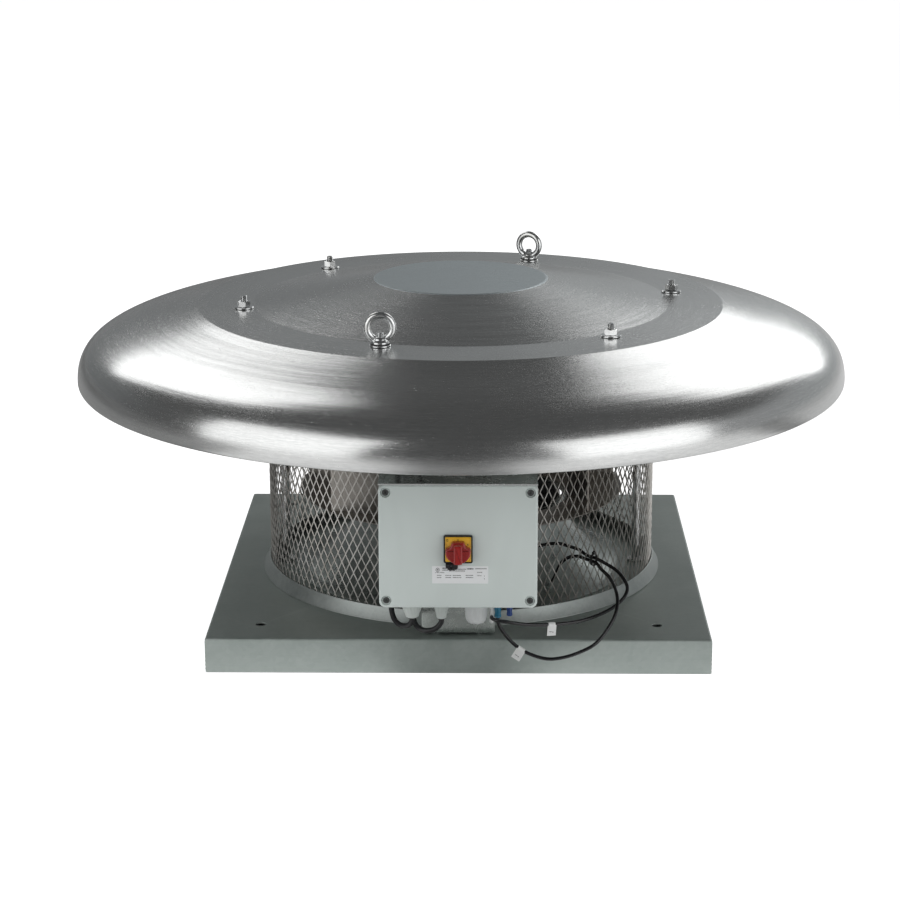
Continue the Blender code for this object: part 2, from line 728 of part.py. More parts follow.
def bracket_outline():
    w, f = BOX_W / 2, BRACKET_FOOT_W / 2
    cx = BOX_CX
    return [(-f, 52.8), (f, 52.8), (f, 112), (f + 10, 122), (cx + w, 122), (cx + w, 297.6), (cx - w, 297.6),
            (cx - w, 122), (-f - 10, 122), (-f, 112)]


def make_bracket(M):
    t = BRACKET_SHEET
    br = prism_y("box_bracket", bracket_outline(), BRACKET_Y, BRACKET_Y + t, M["ring"])
    w = BOX_W / 2
    top = block("top", (BOX_CX - w, BOX_FRONT_Y - 1.0, 295.6), (BOX_CX + w, BRACKET_Y + 1, 297.6), M["ring"])
    foot = block("foot", (-BRACKET_FOOT_W / 2, BRACKET_Y + 1, 52.8), (BRACKET_FOOT_W / 2, -309, 54.8), M["ring"])
    pads = [cylinder("pad", (sx * 32, -322, BASE_HEIGHT + GAP), (sx * 32, -322, 54), 7.5, M["ring"], 20) for sx in (-1, 1)]
    join(br, [top, foot] + pads)
    return br


def corner_posts():
    return [(BOX_CX + sx * SCREW_DX, BOX_CZ + sz * SCREW_DZ) for sz in (1, -1) for sx in (-1, 1)]


GLANDS = ((-63.0, 10.2, 92.0), (-22.5, 8.2, 91.0), (25.5, 10.2, 84.4), (46.8, 2.9, 84.0), (55.4, 4.1, 92.6), (71.5, 3.6, 94.9))


def make_box(M):
    y_split = BOX_FRONT_Y + BOX_LID_T
    out = rounded_rect(BOX_CX, BOX_CZ, BOX_W, BOX_H, BOX_CORNER_R)
    inn = rounded_rect(BOX_CX, BOX_CZ, BOX_W - 2 * BOX_WALL, BOX_H - 2 * BOX_WALL, BOX_CORNER_R - 2.5)
    base = prism_y("box_base", out, y_split + GAP, BOX_BACK_Y, M["box"])
    cut(base, [prism_y("cut", inn, y_split - 5, BOX_BACK_Y - BOX_WALL, M["box"])])
    join(base, [cylinder("post", (x, y_split + GAP, z), (x, BOX_BACK_Y - 1, z), 7.0, M["box"], 12)
                for x, z in corner_posts()])
    holes = [cylinder("cut", (x, y_split - 5, z), (x, BOX_BACK_Y - 20, z), 3.2, M["box"], 10) for x, z in corner_posts()]
    for x, r, _ in GLANDS:
        zb = BOX_CZ - BOX_H / 2
        holes.append(cylinder("cut", (x, GLAND_Y, zb - 5), (x, GLAND_Y, zb + 6), r + GAP, M["box"], 14))
    cut(base, holes, 30)

    lid = prism_y("box_lid", out, BOX_FRONT_Y, y_split, M["box"], front_bevel=2.4)
    cut(lid, [prism_y("cut", inn, BOX_FRONT_Y + BOX_WALL, y_split + 5, M["box"])])
    join(lid, [cylinder("post", (x, BOX_FRONT_Y + 1, z), (x, y_split, z), 8.6, M["box"], 14) for x, z in corner_posts()])
    helpers = []
    for x, z in corner_posts():
        helpers.append(cylinder("cut", (x, BOX_FRONT_Y - 5, z), (x, BOX_FRONT_Y + 4.5, z), 6.6, M["box"], 14))
        helpers.append(cylinder("cut", (x, BOX_FRONT_Y, z), (x, y_split + 5, z), 4.8, M["box"], 12))
    helpers.append(cylinder("cut", (SWITCH_X, BOX_FRONT_Y - 5, SWITCH_Z), (SWITCH_X, BOX_FRONT_Y + 8, SWITCH_Z), 6.0,
                            M["box"], 14))
    cut(lid, helpers, 30)
    parts = [base, lid]

    for i, (x, z) in enumerate(corner_posts()):
        head = cylinder("lid_screw_%d" % (i + 1), (x, BOX_FRONT_Y + 1.2, z), (x, y_split - 1, z), 4.4, M["gland"], 12,
                        origin=(x, BOX_FRONT_Y + 1.2, z))
        join(head, [cylinder("shank", (x, y_split - 3, z), (x, y_split + 14, z), 2.8, M["gland"], 8)])
        cut(head, [block("slot", (x - 0.8, BOX_FRONT_Y - 1, z - 3), (x + 0.8, BOX_FRONT_Y + 2.6, z + 3), M["gland"])], 30)
        parts.append(head)
    return parts


def make_switch(M):
    s = SWITCH_SIDE / 2
    cx, cz = SWITCH_X, SWITCH_Z
    f = BOX_FRONT_Y - GAP
    bezel = prism_y("switch_bezel", rounded_rect(cx, cz, 2 * s, 2 * s, 2.6, 3), f - 4.6, f, M["black"])
    cut(bezel, [prism_y("cut", rounded_rect(cx, cz, 2 * s - 3.6, 2 * s - 3.6, 1.2, 2), f - 10, f + 5, M["black"]),
                block("cut", (cx - 16.2, f - 2.9, cz - s - 3), (cx - 3.8, f - 0.5, cz - s + 6), M["black"])])
    plate = prism_y("switch_plate", rounded_rect(cx, cz, 2 * s - 4.4, 2 * s - 4.4, 1.0, 2), f - 4.2, f - 3.2, M["yellow"])
    cut(plate, [cylinder("cut", (cx, f - 8, cz), (cx, f + 2, cz), 6.0, M["yellow"], 24)])
    # handle: round heel below, tapered pointer above, and a spindle through the lid
    heel = []
    for i in range(13):
        a = math.pi + math.pi * i / 12
        heel.append((cx + 17.2 * math.cos(a), cz + 17.2 * math.sin(a)))
    head = heel + [(cx + 16.2, cz + 3.2), (cx + 9.8, cz + 6.4), (cx + 8.8, cz + 10.8), (cx + 6.6, cz + 12.8),
                   (cx - 6.6, cz + 12.8), (cx - 8.8, cz + 10.8), (cx - 9.8, cz + 6.4), (cx - 16.2, cz + 3.2)]
    y0 = f - 4.6 - GAP
    knob = prism_y("switch_knob", head, y0 - 12, y0, M["red"], front_bevel=2.0, origin=(cx, y0, cz))
    rib = prism_y("rib", [(cx - 5.6, cz - 14.5), (cx + 5.6, cz - 14.5), (cx + 5.6, cz + 10.5), (cx - 5.6, cz + 10.5)],
                  y0 - 22, y0 - 10, M["red"], front_bevel=1.6)
    spindle = cylinder("spindle", (cx, y0 - 4, cz), (cx, BOX_FRONT_Y + 12, cz), 5.2, M["red"], 20)
    join(knob, [rib, spindle], 40)
    # padlocking slide under the bezel, with a tongue that runs in the bezel's slot
    tab_top = cz - s - GAP
    tab = prism_y("lock_slide", [(cx - 17.0, tab_top), (cx - 17.0, tab_top - 5.0), (cx - 13.5, tab_top - 8.6),
                                 (cx - 2.6, tab_top - 8.6), (cx - 0.4, tab_top - 6.0), (cx - 0.4, tab_top)],
                  f - 6.0, f - 0.9, M["black"], front_bevel=0.8, origin=(cx - 10, f - 2, tab_top))
    join(tab, [block("tongue", (cx - 15.2, f - 2.6, tab_top - 3), (cx - 4.8, f - 0.9, tab_top + 11), M["black"])])
    cut(tab, [cylinder("cut", (cx - 9.5, f - 12, tab_top - 4.6), (cx - 9.5, f + 6, tab_top - 4.6), 1.8, M["black"], 14)])
    pivot("switch_axis", (cx, y0, cz), [knob])
    body = block("switch_body", (cx - 19, BOX_FRONT_Y + 13, cz - 24), (cx + 19, BOX_FRONT_Y + 60, cz + 24), M["black"], 1.5)
    return [bezel, plate, knob, tab, body]


def make_glands(M):
    zb = BOX_CZ - BOX_H / 2
    y = GLAND_Y
    out = []
    top = zb + BOX_WALL + 9

    def gland(name, x, rt, z1, rh, rd, mat, tip):
        zc = zb - GAP
        return revolve(name, [(0, top), (rt, top), (rt, zc), (rh, zc), (rh, zc - 6.5), (rd, zc - 7.2),
                              (rd - 0.4, zc - 14), (rd * 0.86, zc - 20.5), (rd * 0.62, z1 + 2.2), (tip, z1), (0, z1)],
                       mat, 16, (x, y), origin=(x, y, zc))

    (x1, r1, z1), (x2, r2, z2), (x3, r3, z3), (x4, r4, z4), (x5, r5, z5), (x6, r6, z6) = GLANDS
    out.append(gland("cable_gland_1", x1, r1, z1, 14.4, 13.6, M["gland"], 5.4))
    out.append(gland("cable_gland_2", x2, r2, z2, 11.0, 10.3, M["gland"], 4.8))
    zc = zb - GAP
    out.append(revolve("blanking_cap", [(0, top), (r3, top), (r3, zc), (15.4, zc), (15.7, zc - 4), (15.4, zc - 24),
                                        (14.0, zc - 31), (10.5, z3 + 1.0), (5, z3), (0, z3)], M["white"], 18, (x3, y),
                       origin=(x3, y, zc)))
    elbow = revolve("tube_fitting_1", [(0, top), (r4, top), (r4, zc), (3.4, zc), (3.2, z4 + 1), (2.2, z4), (0, z4)],
                    M["white"], 16, (x4, y), origin=(x4, y, zc))
    join(elbow, [cylinder("nozzle", (x4, y, 96), (x4, y - 8, 96), 2.4, M["white"], 14)], 30)
    out.append(elbow)
    for k, (x, r, z, rb, mat) in enumerate(((x5, r5, z5, 4.9, M["blue"]), (x6, r6, z6, 4.1, M["blue"]))):
        out.append(revolve("tube_fitting_%d" % (k + 2),
                           [(0, top), (r, top), (r, zc), (rb, zc), (rb, z + 9), (rb - 0.5, z + 8.4), (rb - 0.5, z + 4),
                            (rb, z + 3.4), (rb, z + 0.8), (rb - 0.7, z), (0, z)], mat, 12, (x, y), origin=(x, y, zc)))
    return out


# --------------------------------------------------------------- cord routes
def cable_route(k):
    """Centreline of a motor cable from its gland, round under the box and up
    behind the bracket, through the motor plate and in to the motor."""
    x, y = CABLE_HOLES[k]
    if k == 0:
        start = [(-63, GLAND_Y, 91.6), (-63, GLAND_Y, 87.5), (-68, -377, 79), (-79, -367, 75), (-89, -352, 79),
                 (-94, -336, 93), (-94.5, -321, 118), (-91, -311, 155)]
    else:
        start = [(-22.5, GLAND_Y, 90.6), (-22.5, GLAND_Y, 85.5), (-31, -380, 75), (-44, -377, 71), (-56, -368, 73),
                 (-62, -354, 81), (-61, -339, 94), (-57, -325, 112)]
    rise = [(x - 1.2 + k, y - 1, 185), (x, y, 230), (x, y, 300), (x, y, 350)]
    inward = Vector((x, y, 0)).normalized()
    tail = [(x, y, 366), (inward.x * 295, inward.y * 295, 384), (inward.x * 260, inward.y * 260, 390),
            (inward.x * 180, inward.y * 180, 389), (inward.x * 130, inward.y * 130, 388),
            (inward.x * 95.4, inward.y * 95.4, 388)]
    return start + rise + tail


def tube_route(k):
    """Centreline of a pressure tube from its fitting, in a loose loop to the
    tie at the mesh, through one diamond and on to a tap on the inlet bell."""
    if k == 0:
        start = [(46.8, GLAND_Y - 8.4, 96), (46.8, -394.5, 96), (53, -403, 95.5), (66, -404, 94), (94, -398, 88),
                 (124, -388, 84), (150, -376, 82), (175, -360, 81), (207, -333, 84), (225, -313, 89),
                 (236, -299, 97), (239, -289, 105), (235, -279, 113), (226, -266, 121), (211, -248, 126)]
        inside = [(174, -195, 130), (160, -182, 131), (140, -168, 131)]
    else:
        start = [(55.4, GLAND_Y, 92.2), (55.4, GLAND_Y, 86), (60.5, -382, 75), (73, -384, 59), (88, -387, 47),
                 (107, -389, 38.5), (126, -390, 34.5), (146, -388, 36), (167, -384, 41.5), (190, -378, 52),
                 (207, -365, 68), (219, -349, 85), (223, -333, 99), (221, -314, 110), (214, -286, 118),
                 (203, -256, 121)]
        inside = [(170, -200, 122), (158, -195, 118), (148, -190, 108)]
    dz = 3.1 if k == 0 else -3.1
    a = polar(GUARD_R + 8, TUBE_AZIMUTH, TUBE_PASS_Z + dz)
    b = polar(GUARD_R - 10, TUBE_AZIMUTH, TUBE_PASS_Z + dz)
    t = TAPS[k]
    tip, n = Vector(t["tip"]), t["dir"]
    end = [tuple(tip + n * 14), tuple(tip + n * 7), tuple(tip + n * GAP)]
    return start + [tuple(a), tuple(b)] + inside + end


def make_cords(M):
    out = []
    for k in (0, 1):
        out.append(tube_object("motor_cable_%d" % (k + 1), cable_route(k), CABLE_D, M["cable"], 22.0))
    for k in (0, 1):
        out.append(tube_object("pressure_tube_%d" % (k + 1), tube_route(k), TUBE_D, M["cable"], 12.5))
    # printed flag on each tube
    for k, (i0, size) in enumerate((((130, -386), (18, 15)), ((88, -387), (18, 15)))):
        pts = smooth_path(tube_route(k), 2.0)
        best = min(pts, key=lambda p: abs(p.x - i0[0]) + (0 if p.y < -370 else 500))
        i = pts.index(best)
        d = (pts[i + 2] - pts[i - 2]).normalized()
        sleeve = cylinder("tube_flag_%d" % (k + 1), best - d * 5, best + d * 5, TUBE_D / 2 + 1.3, M["white"], 16,
                          origin=tuple(best))
        w, h = size
        side = d.cross(Vector((0, 1, 0))).normalized()
        if side.z > 0:
            side = -side
        bm = bmesh.new()
        bmesh.ops.create_cube(bm, size=1.0)
        for v in bm.verts:
            q = best + d * v.co.x * w * 0.72 + side * (h * 0.5 + v.co.z * h) * 0.9 + Vector((0, -1, 0)) * (v.co.y * 0.9 + TUBE_D / 2 + 0.75)
            v.co = q
        flag = finish(bm, "flag", M["white"])
        join(sleeve, [flag])
        cut(sleeve, [cylinder("cut", best - d * 12, best + d * 12, TUBE_D / 2 + 0.35, M["white"], 16)], 30)
        out.append(sleeve)
    # tie round both tubes where they enter the mesh
    c = polar(GUARD_R + 5.0, TUBE_AZIMUTH, TUBE_PASS_Z)
    t = polar(1, TUBE_AZIMUTH + 90)
    nrm = polar(1, TUBE_AZIMUTH)
    loop = []
    for i in range(24):
        a = 2 * math.pi * i / 24
        loop.append((4.7 * math.cos(a), 3.1 * (1 if math.sin(a) > 0.01 else -1 if math.sin(a) < -0.01 else 0) + 4.7 * math.sin(a)))
    bm = bmesh.new()
    rows = []
    for depth, grow in ((-1.9, 0.0), (1.9, 0.0), (1.9, 1.5), (-1.9, 1.5)):
        row = []
        for u, w in loop:
            l = math.hypot(u, w)
            p = c + t * (u * (l + grow) / l) + Vector((0, 0, 1)) * (w * (l + grow) / l) + nrm * depth
            row.append(bm.verts.new(p))
        rows.append(row)
    for k in range(4):
        a, b = rows[k], rows[(k + 1) % 4]
        for i in range(24):
            j = (i + 1) % 24
            bm.faces.new((a[i], b[i], b[j], a[j]))
    tie = finish(bm, "tube_tie", M["black"], None, tuple(c))
    head = cylinder("head", c + Vector((0, 0, 10.0)) - nrm * 2.6, c + Vector((0, 0, 10.0)) + nrm * 2.6, 2.0, M["black"], 10)
    join(tie, [head], 30)
    out.append(tie)
    return out


def main():
    clear_scene()
    M = make_materials()
    make_base(M)
    make_bell(M)
    make_guard(M)
    make_plate(M)
    make_posts(M)
    make_hood(M)
    make_fixings(M)
    make_impeller(M)
    make_motor(M)
    make_bracket(M)
    make_box(M)
    make_switch(M)
    make_glands(M)
    make_cords(M)


main()
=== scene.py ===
"""Looks of the roof exhaust fan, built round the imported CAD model.

Lengths in the shape code are millimetres in the model's own frame.
"""
import math

import bpy
import bmesh
import numpy as np
from mathutils import Matrix, Vector


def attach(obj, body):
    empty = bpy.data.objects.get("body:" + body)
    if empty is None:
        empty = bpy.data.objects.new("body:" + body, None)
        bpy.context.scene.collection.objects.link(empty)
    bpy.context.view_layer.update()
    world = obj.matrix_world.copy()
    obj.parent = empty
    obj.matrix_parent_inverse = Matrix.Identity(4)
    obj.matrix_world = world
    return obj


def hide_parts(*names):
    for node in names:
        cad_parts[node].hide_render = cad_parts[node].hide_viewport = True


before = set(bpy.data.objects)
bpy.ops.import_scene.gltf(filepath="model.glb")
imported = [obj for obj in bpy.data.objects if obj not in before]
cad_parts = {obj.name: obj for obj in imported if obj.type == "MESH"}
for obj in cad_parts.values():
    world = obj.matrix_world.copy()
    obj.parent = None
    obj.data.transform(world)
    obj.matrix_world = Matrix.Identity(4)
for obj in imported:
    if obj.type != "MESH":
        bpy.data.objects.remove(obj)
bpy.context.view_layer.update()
MM = 0.001
SCENE = bpy.context.scene
RNG = np.random.default_rng(7)

# --------------------------------------------------------------------- camera
cam_data = bpy.data.cameras.new("camera")
cam_data.sensor_width = 36.0
cam_data.lens = 93.96
cam_data.clip_start = 0.05
cam_data.clip_end = 100.0
cam = bpy.data.objects.new("camera", cam_data)
SCENE.collection.objects.link(cam)
cam.matrix_world = (Matrix.Translation((0.0441, -3.4442, 1.1872))
                    @ Matrix.Rotation(math.radians(1.012), 4, 'Z')
                    @ Matrix.Rotation(math.radians(74.403), 4, 'X')
                    @ Matrix.Rotation(math.radians(-0.155), 4, 'Z'))
SCENE.camera = cam
SCENE.view_settings.view_transform = 'Standard'
SCENE.view_settings.look = 'None'
SCENE.view_settings.exposure = 0.0
SCENE.view_settings.gamma = 1.0


# ============================================================ node tree helpers
def node(nt, kind, ins=None, **attrs):
    n = nt.nodes.new(kind)
    for k, v in attrs.items():
        setattr(n, k, v)
    for k, v in (ins or {}).items():
        s = n.inputs[k]
        if isinstance(v, bpy.types.NodeSocket):
            nt.links.new(v, s)
        else:
            s.default_value = v
    return n


def math_node(nt, op, a, b=0.0, c=0.0, clamp=False):
    return node(nt, "ShaderNodeMath", {0: a, 1: b, 2: c}, operation=op, use_clamp=clamp).outputs[0]


def remap(nt, v, a, b, c, d, smooth=False):
    n = node(nt, "ShaderNodeMapRange", {"Value": v, "From Min": a, "From Max": b, "To Min": c, "To Max": d}, clamp=True)
    if smooth:
        n.interpolation_type = 'SMOOTHSTEP'
    return n.outputs[0]


def mix_rgb(nt, f, a, b, mode='MIX'):
    n = node(nt, "ShaderNodeMix", data_type='RGBA', blend_type=mode)
    for i, v in ((0, f), (6, a), (7, b)):
        s = n.inputs[i]
        if isinstance(v, bpy.types.NodeSocket):
            nt.links.new(v, s)
        elif i == 0:
            s.default_value = v
        else:
            s.default_value = (*v[:3], 1.0)
    return n.outputs[2]


def noise(nt, vec, scale, detail=3.0, rough=0.5, dist=0.0):
    return node(nt, "ShaderNodeTexNoise", {"Vector": vec, "Scale": scale, "Detail": detail, "Roughness": rough,
                                           "Distortion": dist}).outputs["Fac"]


def scaled(nt, vec, s, rot=(0, 0, 0)):
    return node(nt, "ShaderNodeMapping", {"Vector": vec, "Scale": s, "Rotation": rot}).outputs[0]


def bump(nt, h, strength, dist, normal=None):
    ins = {"Height": h, "Strength": strength, "Distance": dist}
    if normal is not None:
        ins["Normal"] = normal
    return node(nt, "ShaderNodeBump", ins).outputs[0]


def start(name, colour, rough, metal=0.0, **extra):
    m = bpy.data.materials.new(name)
    m.use_nodes = True
    nt = m.node_tree
    b = nt.nodes["Principled BSDF"]
    b.inputs["Base Color"].default_value = (*colour, 1.0)
    b.inputs["Roughness"].default_value = rough
    b.inputs["Metallic"].default_value = metal
    for k, v in extra.items():
        b.inputs[k.replace("_", " ")].default_value = v
    m.diffuse_color = (*colour, 1.0)
    return m, nt, b


def coords(nt):
    return node(nt, "ShaderNodeTexCoord").outputs["Object"]


def edge_wear(nt, lo, hi):
    """0 on flat and hollow parts, 1 on outward edges."""
    p = node(nt, "ShaderNodeNewGeometry").outputs["Pointiness"]
    return remap(nt, p, lo, hi, 0.0, 1.0)


# ================================================================== materials
def polar_coords(nt):
    c = coords(nt)
    sep = node(nt, "ShaderNodeSeparateXYZ", {0: c}).outputs
    flat = node(nt, "ShaderNodeCombineXYZ", {0: sep[0], 1: sep[1]}).outputs[0]
    unit = node(nt, "ShaderNodeVectorMath", {0: flat}, operation='NORMALIZE').outputs[0]
    r = node(nt, "ShaderNodeVectorMath", {0: flat}, operation='LENGTH').outputs["Value"]
    u = node(nt, "ShaderNodeSeparateXYZ", {0: unit}).outputs
    return c, sep, u, r


def ring_noise(nt, u, path, around, along, detail=2.0, rough=0.5, dist=0.0):
    """Noise drawn out round the axis: `around` features per turn, `along` per metre of the profile."""
    v = node(nt, "ShaderNodeCombineXYZ", {0: math_node(nt, 'MULTIPLY', u[0], around),
                                          1: math_node(nt, 'MULTIPLY', u[1], around),
                                          2: math_node(nt, 'MULTIPLY', path, along)}).outputs[0]
    return noise(nt, v, 1.0, detail, rough, dist)


def make_disc():
    """Centre disc of the hood: the same sheet, brushed without direction."""
    m, nt, b = start("spun_disc", (0.63, 0.66, 0.665), 0.30, 1.0)
    c = coords(nt)
    fine = noise(nt, c, 420.0, 3.0, 0.65)
    cloud = noise(nt, c, 9.0, 4.0, 0.6, 0.5)
    rub = noise(nt, scaled(nt, c, (30, 700, 30), (0, 0, 0.4)), 1.0, 2.0, 0.6)
    col = mix_rgb(nt, remap(nt, fine, 0.3, 0.7, 0.0, 1.0), (0.58, 0.645, 0.665), (0.70, 0.765, 0.785))
    col = mix_rgb(nt, remap(nt, cloud, 0.4, 0.7, 0.0, 0.25), col, (0.54, 0.575, 0.59))
    nt.links.new(col, b.inputs["Base Color"])
    nt.links.new(math_node(nt, 'ADD', remap(nt, rub, 0.3, 0.7, 0.27, 0.33), remap(nt, cloud, 0.3, 0.7, -0.02, 0.03)),
                 b.inputs["Roughness"])
    nt.links.new(bump(nt, rub, 0.06, 0.0004), b.inputs["Normal"])
    return m


def make_shaded_underside():
    """Inside of the hood: the same sheet painted dark as shade under the hood, with dull dust blotches."""
    m, nt, b = start("hood_inside_painted_shade", (0.26, 0.26, 0.25), 0.55, 0.8)
    c, sep, u, r = polar_coords(nt)
    rings = ring_noise(nt, u, math_node(nt, 'SUBTRACT', r, sep[2]), 3.0, 260.0, 2.0, 0.6)
    dust = noise(nt, c, 16.0, 5.0, 0.6, 0.4)
    # dark base colour is painted shade under the hood; the darker blotches are dust
    col = mix_rgb(nt, remap(nt, rings, 0.3, 0.7, 0, 1), (0.20, 0.20, 0.192), (0.30, 0.30, 0.29))
    col = mix_rgb(nt, remap(nt, dust, 0.45, 0.7, 0, 0.5), col, (0.17, 0.165, 0.155))
    nt.links.new(col, b.inputs["Base Color"])
    nt.links.new(remap(nt, dust, 0.3, 0.7, 0.48, 0.66), b.inputs["Roughness"])
    nt.links.new(bump(nt, rings, 0.12, 0.0008), b.inputs["Normal"])
    return m


def make_spun():
    m, nt, b = start("spun_aluminium", (0.64, 0.645, 0.64), 0.24, 1.0, Anisotropic=0.55)
    b.inputs["Anisotropic Rotation"].default_value = 0.25
    c, sep, u, r = polar_coords(nt)
    path = math_node(nt, 'SUBTRACT', r, sep[2])
    fine = ring_noise(nt, u, path, 46.0, 760.0, 3.0, 0.7)
    mid = ring_noise(nt, u, path, 5.0, 330.0, 2.0, 0.55)
    wide = ring_noise(nt, u, path, 1.3, 45.0, 2.0, 0.5)
    cloud = noise(nt, scaled(nt, c, (1, 1, 1)), 5.0, 4.0, 0.6, 0.4)
    streak = noise(nt, c, 330.0, 3.0, 0.7)
    g = math_node(nt, 'ADD', math_node(nt, 'MULTIPLY', fine, 0.72), math_node(nt, 'MULTIPLY', mid, 0.28))
    col = mix_rgb(nt, remap(nt, g, 0.32, 0.68, 0.0, 1.0), (0.53, 0.54, 0.538), (0.73, 0.735, 0.728))
    col = mix_rgb(nt, remap(nt, wide, 0.3, 0.7, 0.0, 0.35), col, (0.60, 0.60, 0.595))
    col = mix_rgb(nt, remap(nt, cloud, 0.42, 0.7, 0.0, 0.22), col, (0.50, 0.50, 0.49))
    # pale scuffs on the outer crease, left of the front
    rim = math_node(nt, 'MULTIPLY', remap(nt, r, 0.380, 0.392, 0, 1, True), remap(nt, r, 0.398, 0.412, 1, 0, True))
    side = math_node(nt, 'MULTIPLY', remap(nt, u[0], -0.95, -0.82, 0, 1, True), remap(nt, u[0], -0.45, -0.2, 1, 0, True))
    side = math_node(nt, 'MULTIPLY', side, remap(nt, u[1], -0.2, 0.05, 1, 0, True))
    sc = math_node(nt, 'MULTIPLY', remap(nt, noise(nt, c, 150.0, 3.0, 0.65), 0.52, 0.60, 0, 1),
                   math_node(nt, 'MULTIPLY', rim, side))
    # thin handling scratches
    warp = noise(nt, scaled(nt, c, (6, 6, 6), (0.3, 0.2, 0.7)), 1.0, 2.0, 0.5)
    lines = node(nt, "ShaderNodeTexVoronoi", {"Vector": scaled(nt, c, (9, 42, 9), (0.0, 0.0, 0.5)), "Scale": 1.0,
                                             "Randomness": 1.0}, feature='DISTANCE_TO_EDGE').outputs["Distance"]
    scr = math_node(nt, 'MULTIPLY', remap(nt, lines, 0.0, 0.008, 1, 0), remap(nt, warp, 0.56, 0.66, 0, 0.09))
    wear = math_node(nt, 'MAXIMUM', math_node(nt, 'MULTIPLY', sc, 0.14), scr)
    col = mix_rgb(nt, wear, col, (0.86, 0.86, 0.85))
    nt.links.new(col, b.inputs["Base Color"])
    rg = math_node(nt, 'ADD', remap(nt, g, 0.3, 0.7, 0.195, 0.265),
                   math_node(nt, 'ADD', remap(nt, cloud, 0.3, 0.7, -0.015, 0.03), remap(nt, streak, 0.35, 0.7, -0.015, 0.03)))
    rg = math_node(nt, 'ADD', rg, math_node(nt, 'MULTIPLY', wear, 0.15), clamp=True)
    nt.links.new(rg, b.inputs["Roughness"])
    n1 = bump(nt, g, 0.10, 0.0005)
    n2 = bump(nt, wide, 0.10, 0.004, n1)
    nt.links.new(n2, b.inputs["Normal"])
    tan = node(nt, "ShaderNodeTangent", direction_type='RADIAL', axis='Z')
    nt.links.new(tan.outputs[0], b.inputs["Tangent"])
    return m


def make_zinc_sheet(name, dark, light, rough, metal, grain=18.0):
    """Zinc-coated sheet: soft mottling, fine rolling lines, paler worn edges."""
    m, nt, b = start(name, light, rough, metal)
    c = coords(nt)
    mot = noise(nt, c, grain, 5.0, 0.6, 0.5)
    spang = node(nt, "ShaderNodeTexVoronoi", {"Vector": c, "Scale": grain * 9}, feature='F1').outputs["Color"]
    sp = node(nt, "ShaderNodeSeparateColor", {0: spang}).outputs[0]
    roll = noise(nt, scaled(nt, c, (25, 900, 900)), 1.0, 2.0, 0.6)
    f = math_node(nt, 'ADD', math_node(nt, 'MULTIPLY', mot, 0.65),
                  math_node(nt, 'ADD', math_node(nt, 'MULTIPLY', sp, 0.15), math_node(nt, 'MULTIPLY', roll, 0.2)))
    col = mix_rgb(nt, remap(nt, f, 0.3, 0.7, 0, 1), dark, light)
    col = mix_rgb(nt, math_node(nt, 'MULTIPLY', edge_wear(nt, 0.53, 0.62), 0.5), col, tuple(min(1, v * 1.7) for v in light))
    stain = remap(nt, noise(nt, c, 4.0, 4.0, 0.6, 0.8), 0.55, 0.75, 0, 0.25)
    col = mix_rgb(nt, stain, col, tuple(v * 0.75 for v in dark))
    nt.links.new(col, b.inputs["Base Color"])
    nt.links.new(remap(nt, f, 0.3, 0.7, rough - 0.06, rough + 0.09), b.inputs["Roughness"])
    h = math_node(nt, 'ADD', math_node(nt, 'MULTIPLY', roll, 0.5), mot)
    nt.links.new(bump(nt, h, 0.10, 0.0008), b.inputs["Normal"])
    return m


def make_mesh_metal():
    m, nt, b = start("expanded_mesh", (0.42, 0.40, 0.37), 0.36, 0.92)
    c = coords(nt)
    a = noise(nt, c, 90.0, 4.0, 0.65, 0.3)
    d = noise(nt, c, 9.0, 3.0, 0.55, 0.6)
    col = mix_rgb(nt, remap(nt, a, 0.3, 0.7, 0, 1), (0.33, 0.315, 0.29), (0.60, 0.59, 0.565))
    col = mix_rgb(nt, remap(nt, d, 0.5, 0.75, 0, 0.45), col, (0.30, 0.255, 0.205))
    nt.links.new(col, b.inputs["Base Color"])
    nt.links.new(remap(nt, a, 0.3, 0.7, 0.28, 0.46), b.inputs["Roughness"])
    nt.links.new(bump(nt, noise(nt, c, 700.0, 3.0, 0.6), 0.25, 0.0003), b.inputs["Normal"])
    return m


def make_bright_steel():
    """Bright zinc plating on turned, stamped and forged steel."""
    m, nt, b = start("zinc_steel", (0.68, 0.69, 0.69), 0.2, 1.0)
    c = coords(nt)
    a = noise(nt, c, 160.0, 4.0, 0.6, 0.2)
    big = noise(nt, c, 35.0, 2.0, 0.5)
    col = mix_rgb(nt, remap(nt, a, 0.3, 0.7, 0, 1), (0.55, 0.56, 0.57), (0.80, 0.81, 0.80))
    col = mix_rgb(nt, remap(nt, big, 0.55, 0.75, 0, 0.3), col, (0.52, 0.50, 0.42))
    col = mix_rgb(nt, math_node(nt, 'MULTIPLY', edge_wear(nt, 0.52, 0.6), 0.4), col, (0.9, 0.9, 0.9))
    nt.links.new(col, b.inputs["Base Color"])
    nt.links.new(remap(nt, a, 0.3, 0.7, 0.13, 0.3), b.inputs["Roughness"])
    nt.links.new(bump(nt, noise(nt, c, 900.0, 2.0, 0.6), 0.15, 0.0002), b.inputs["Normal"])
    return m


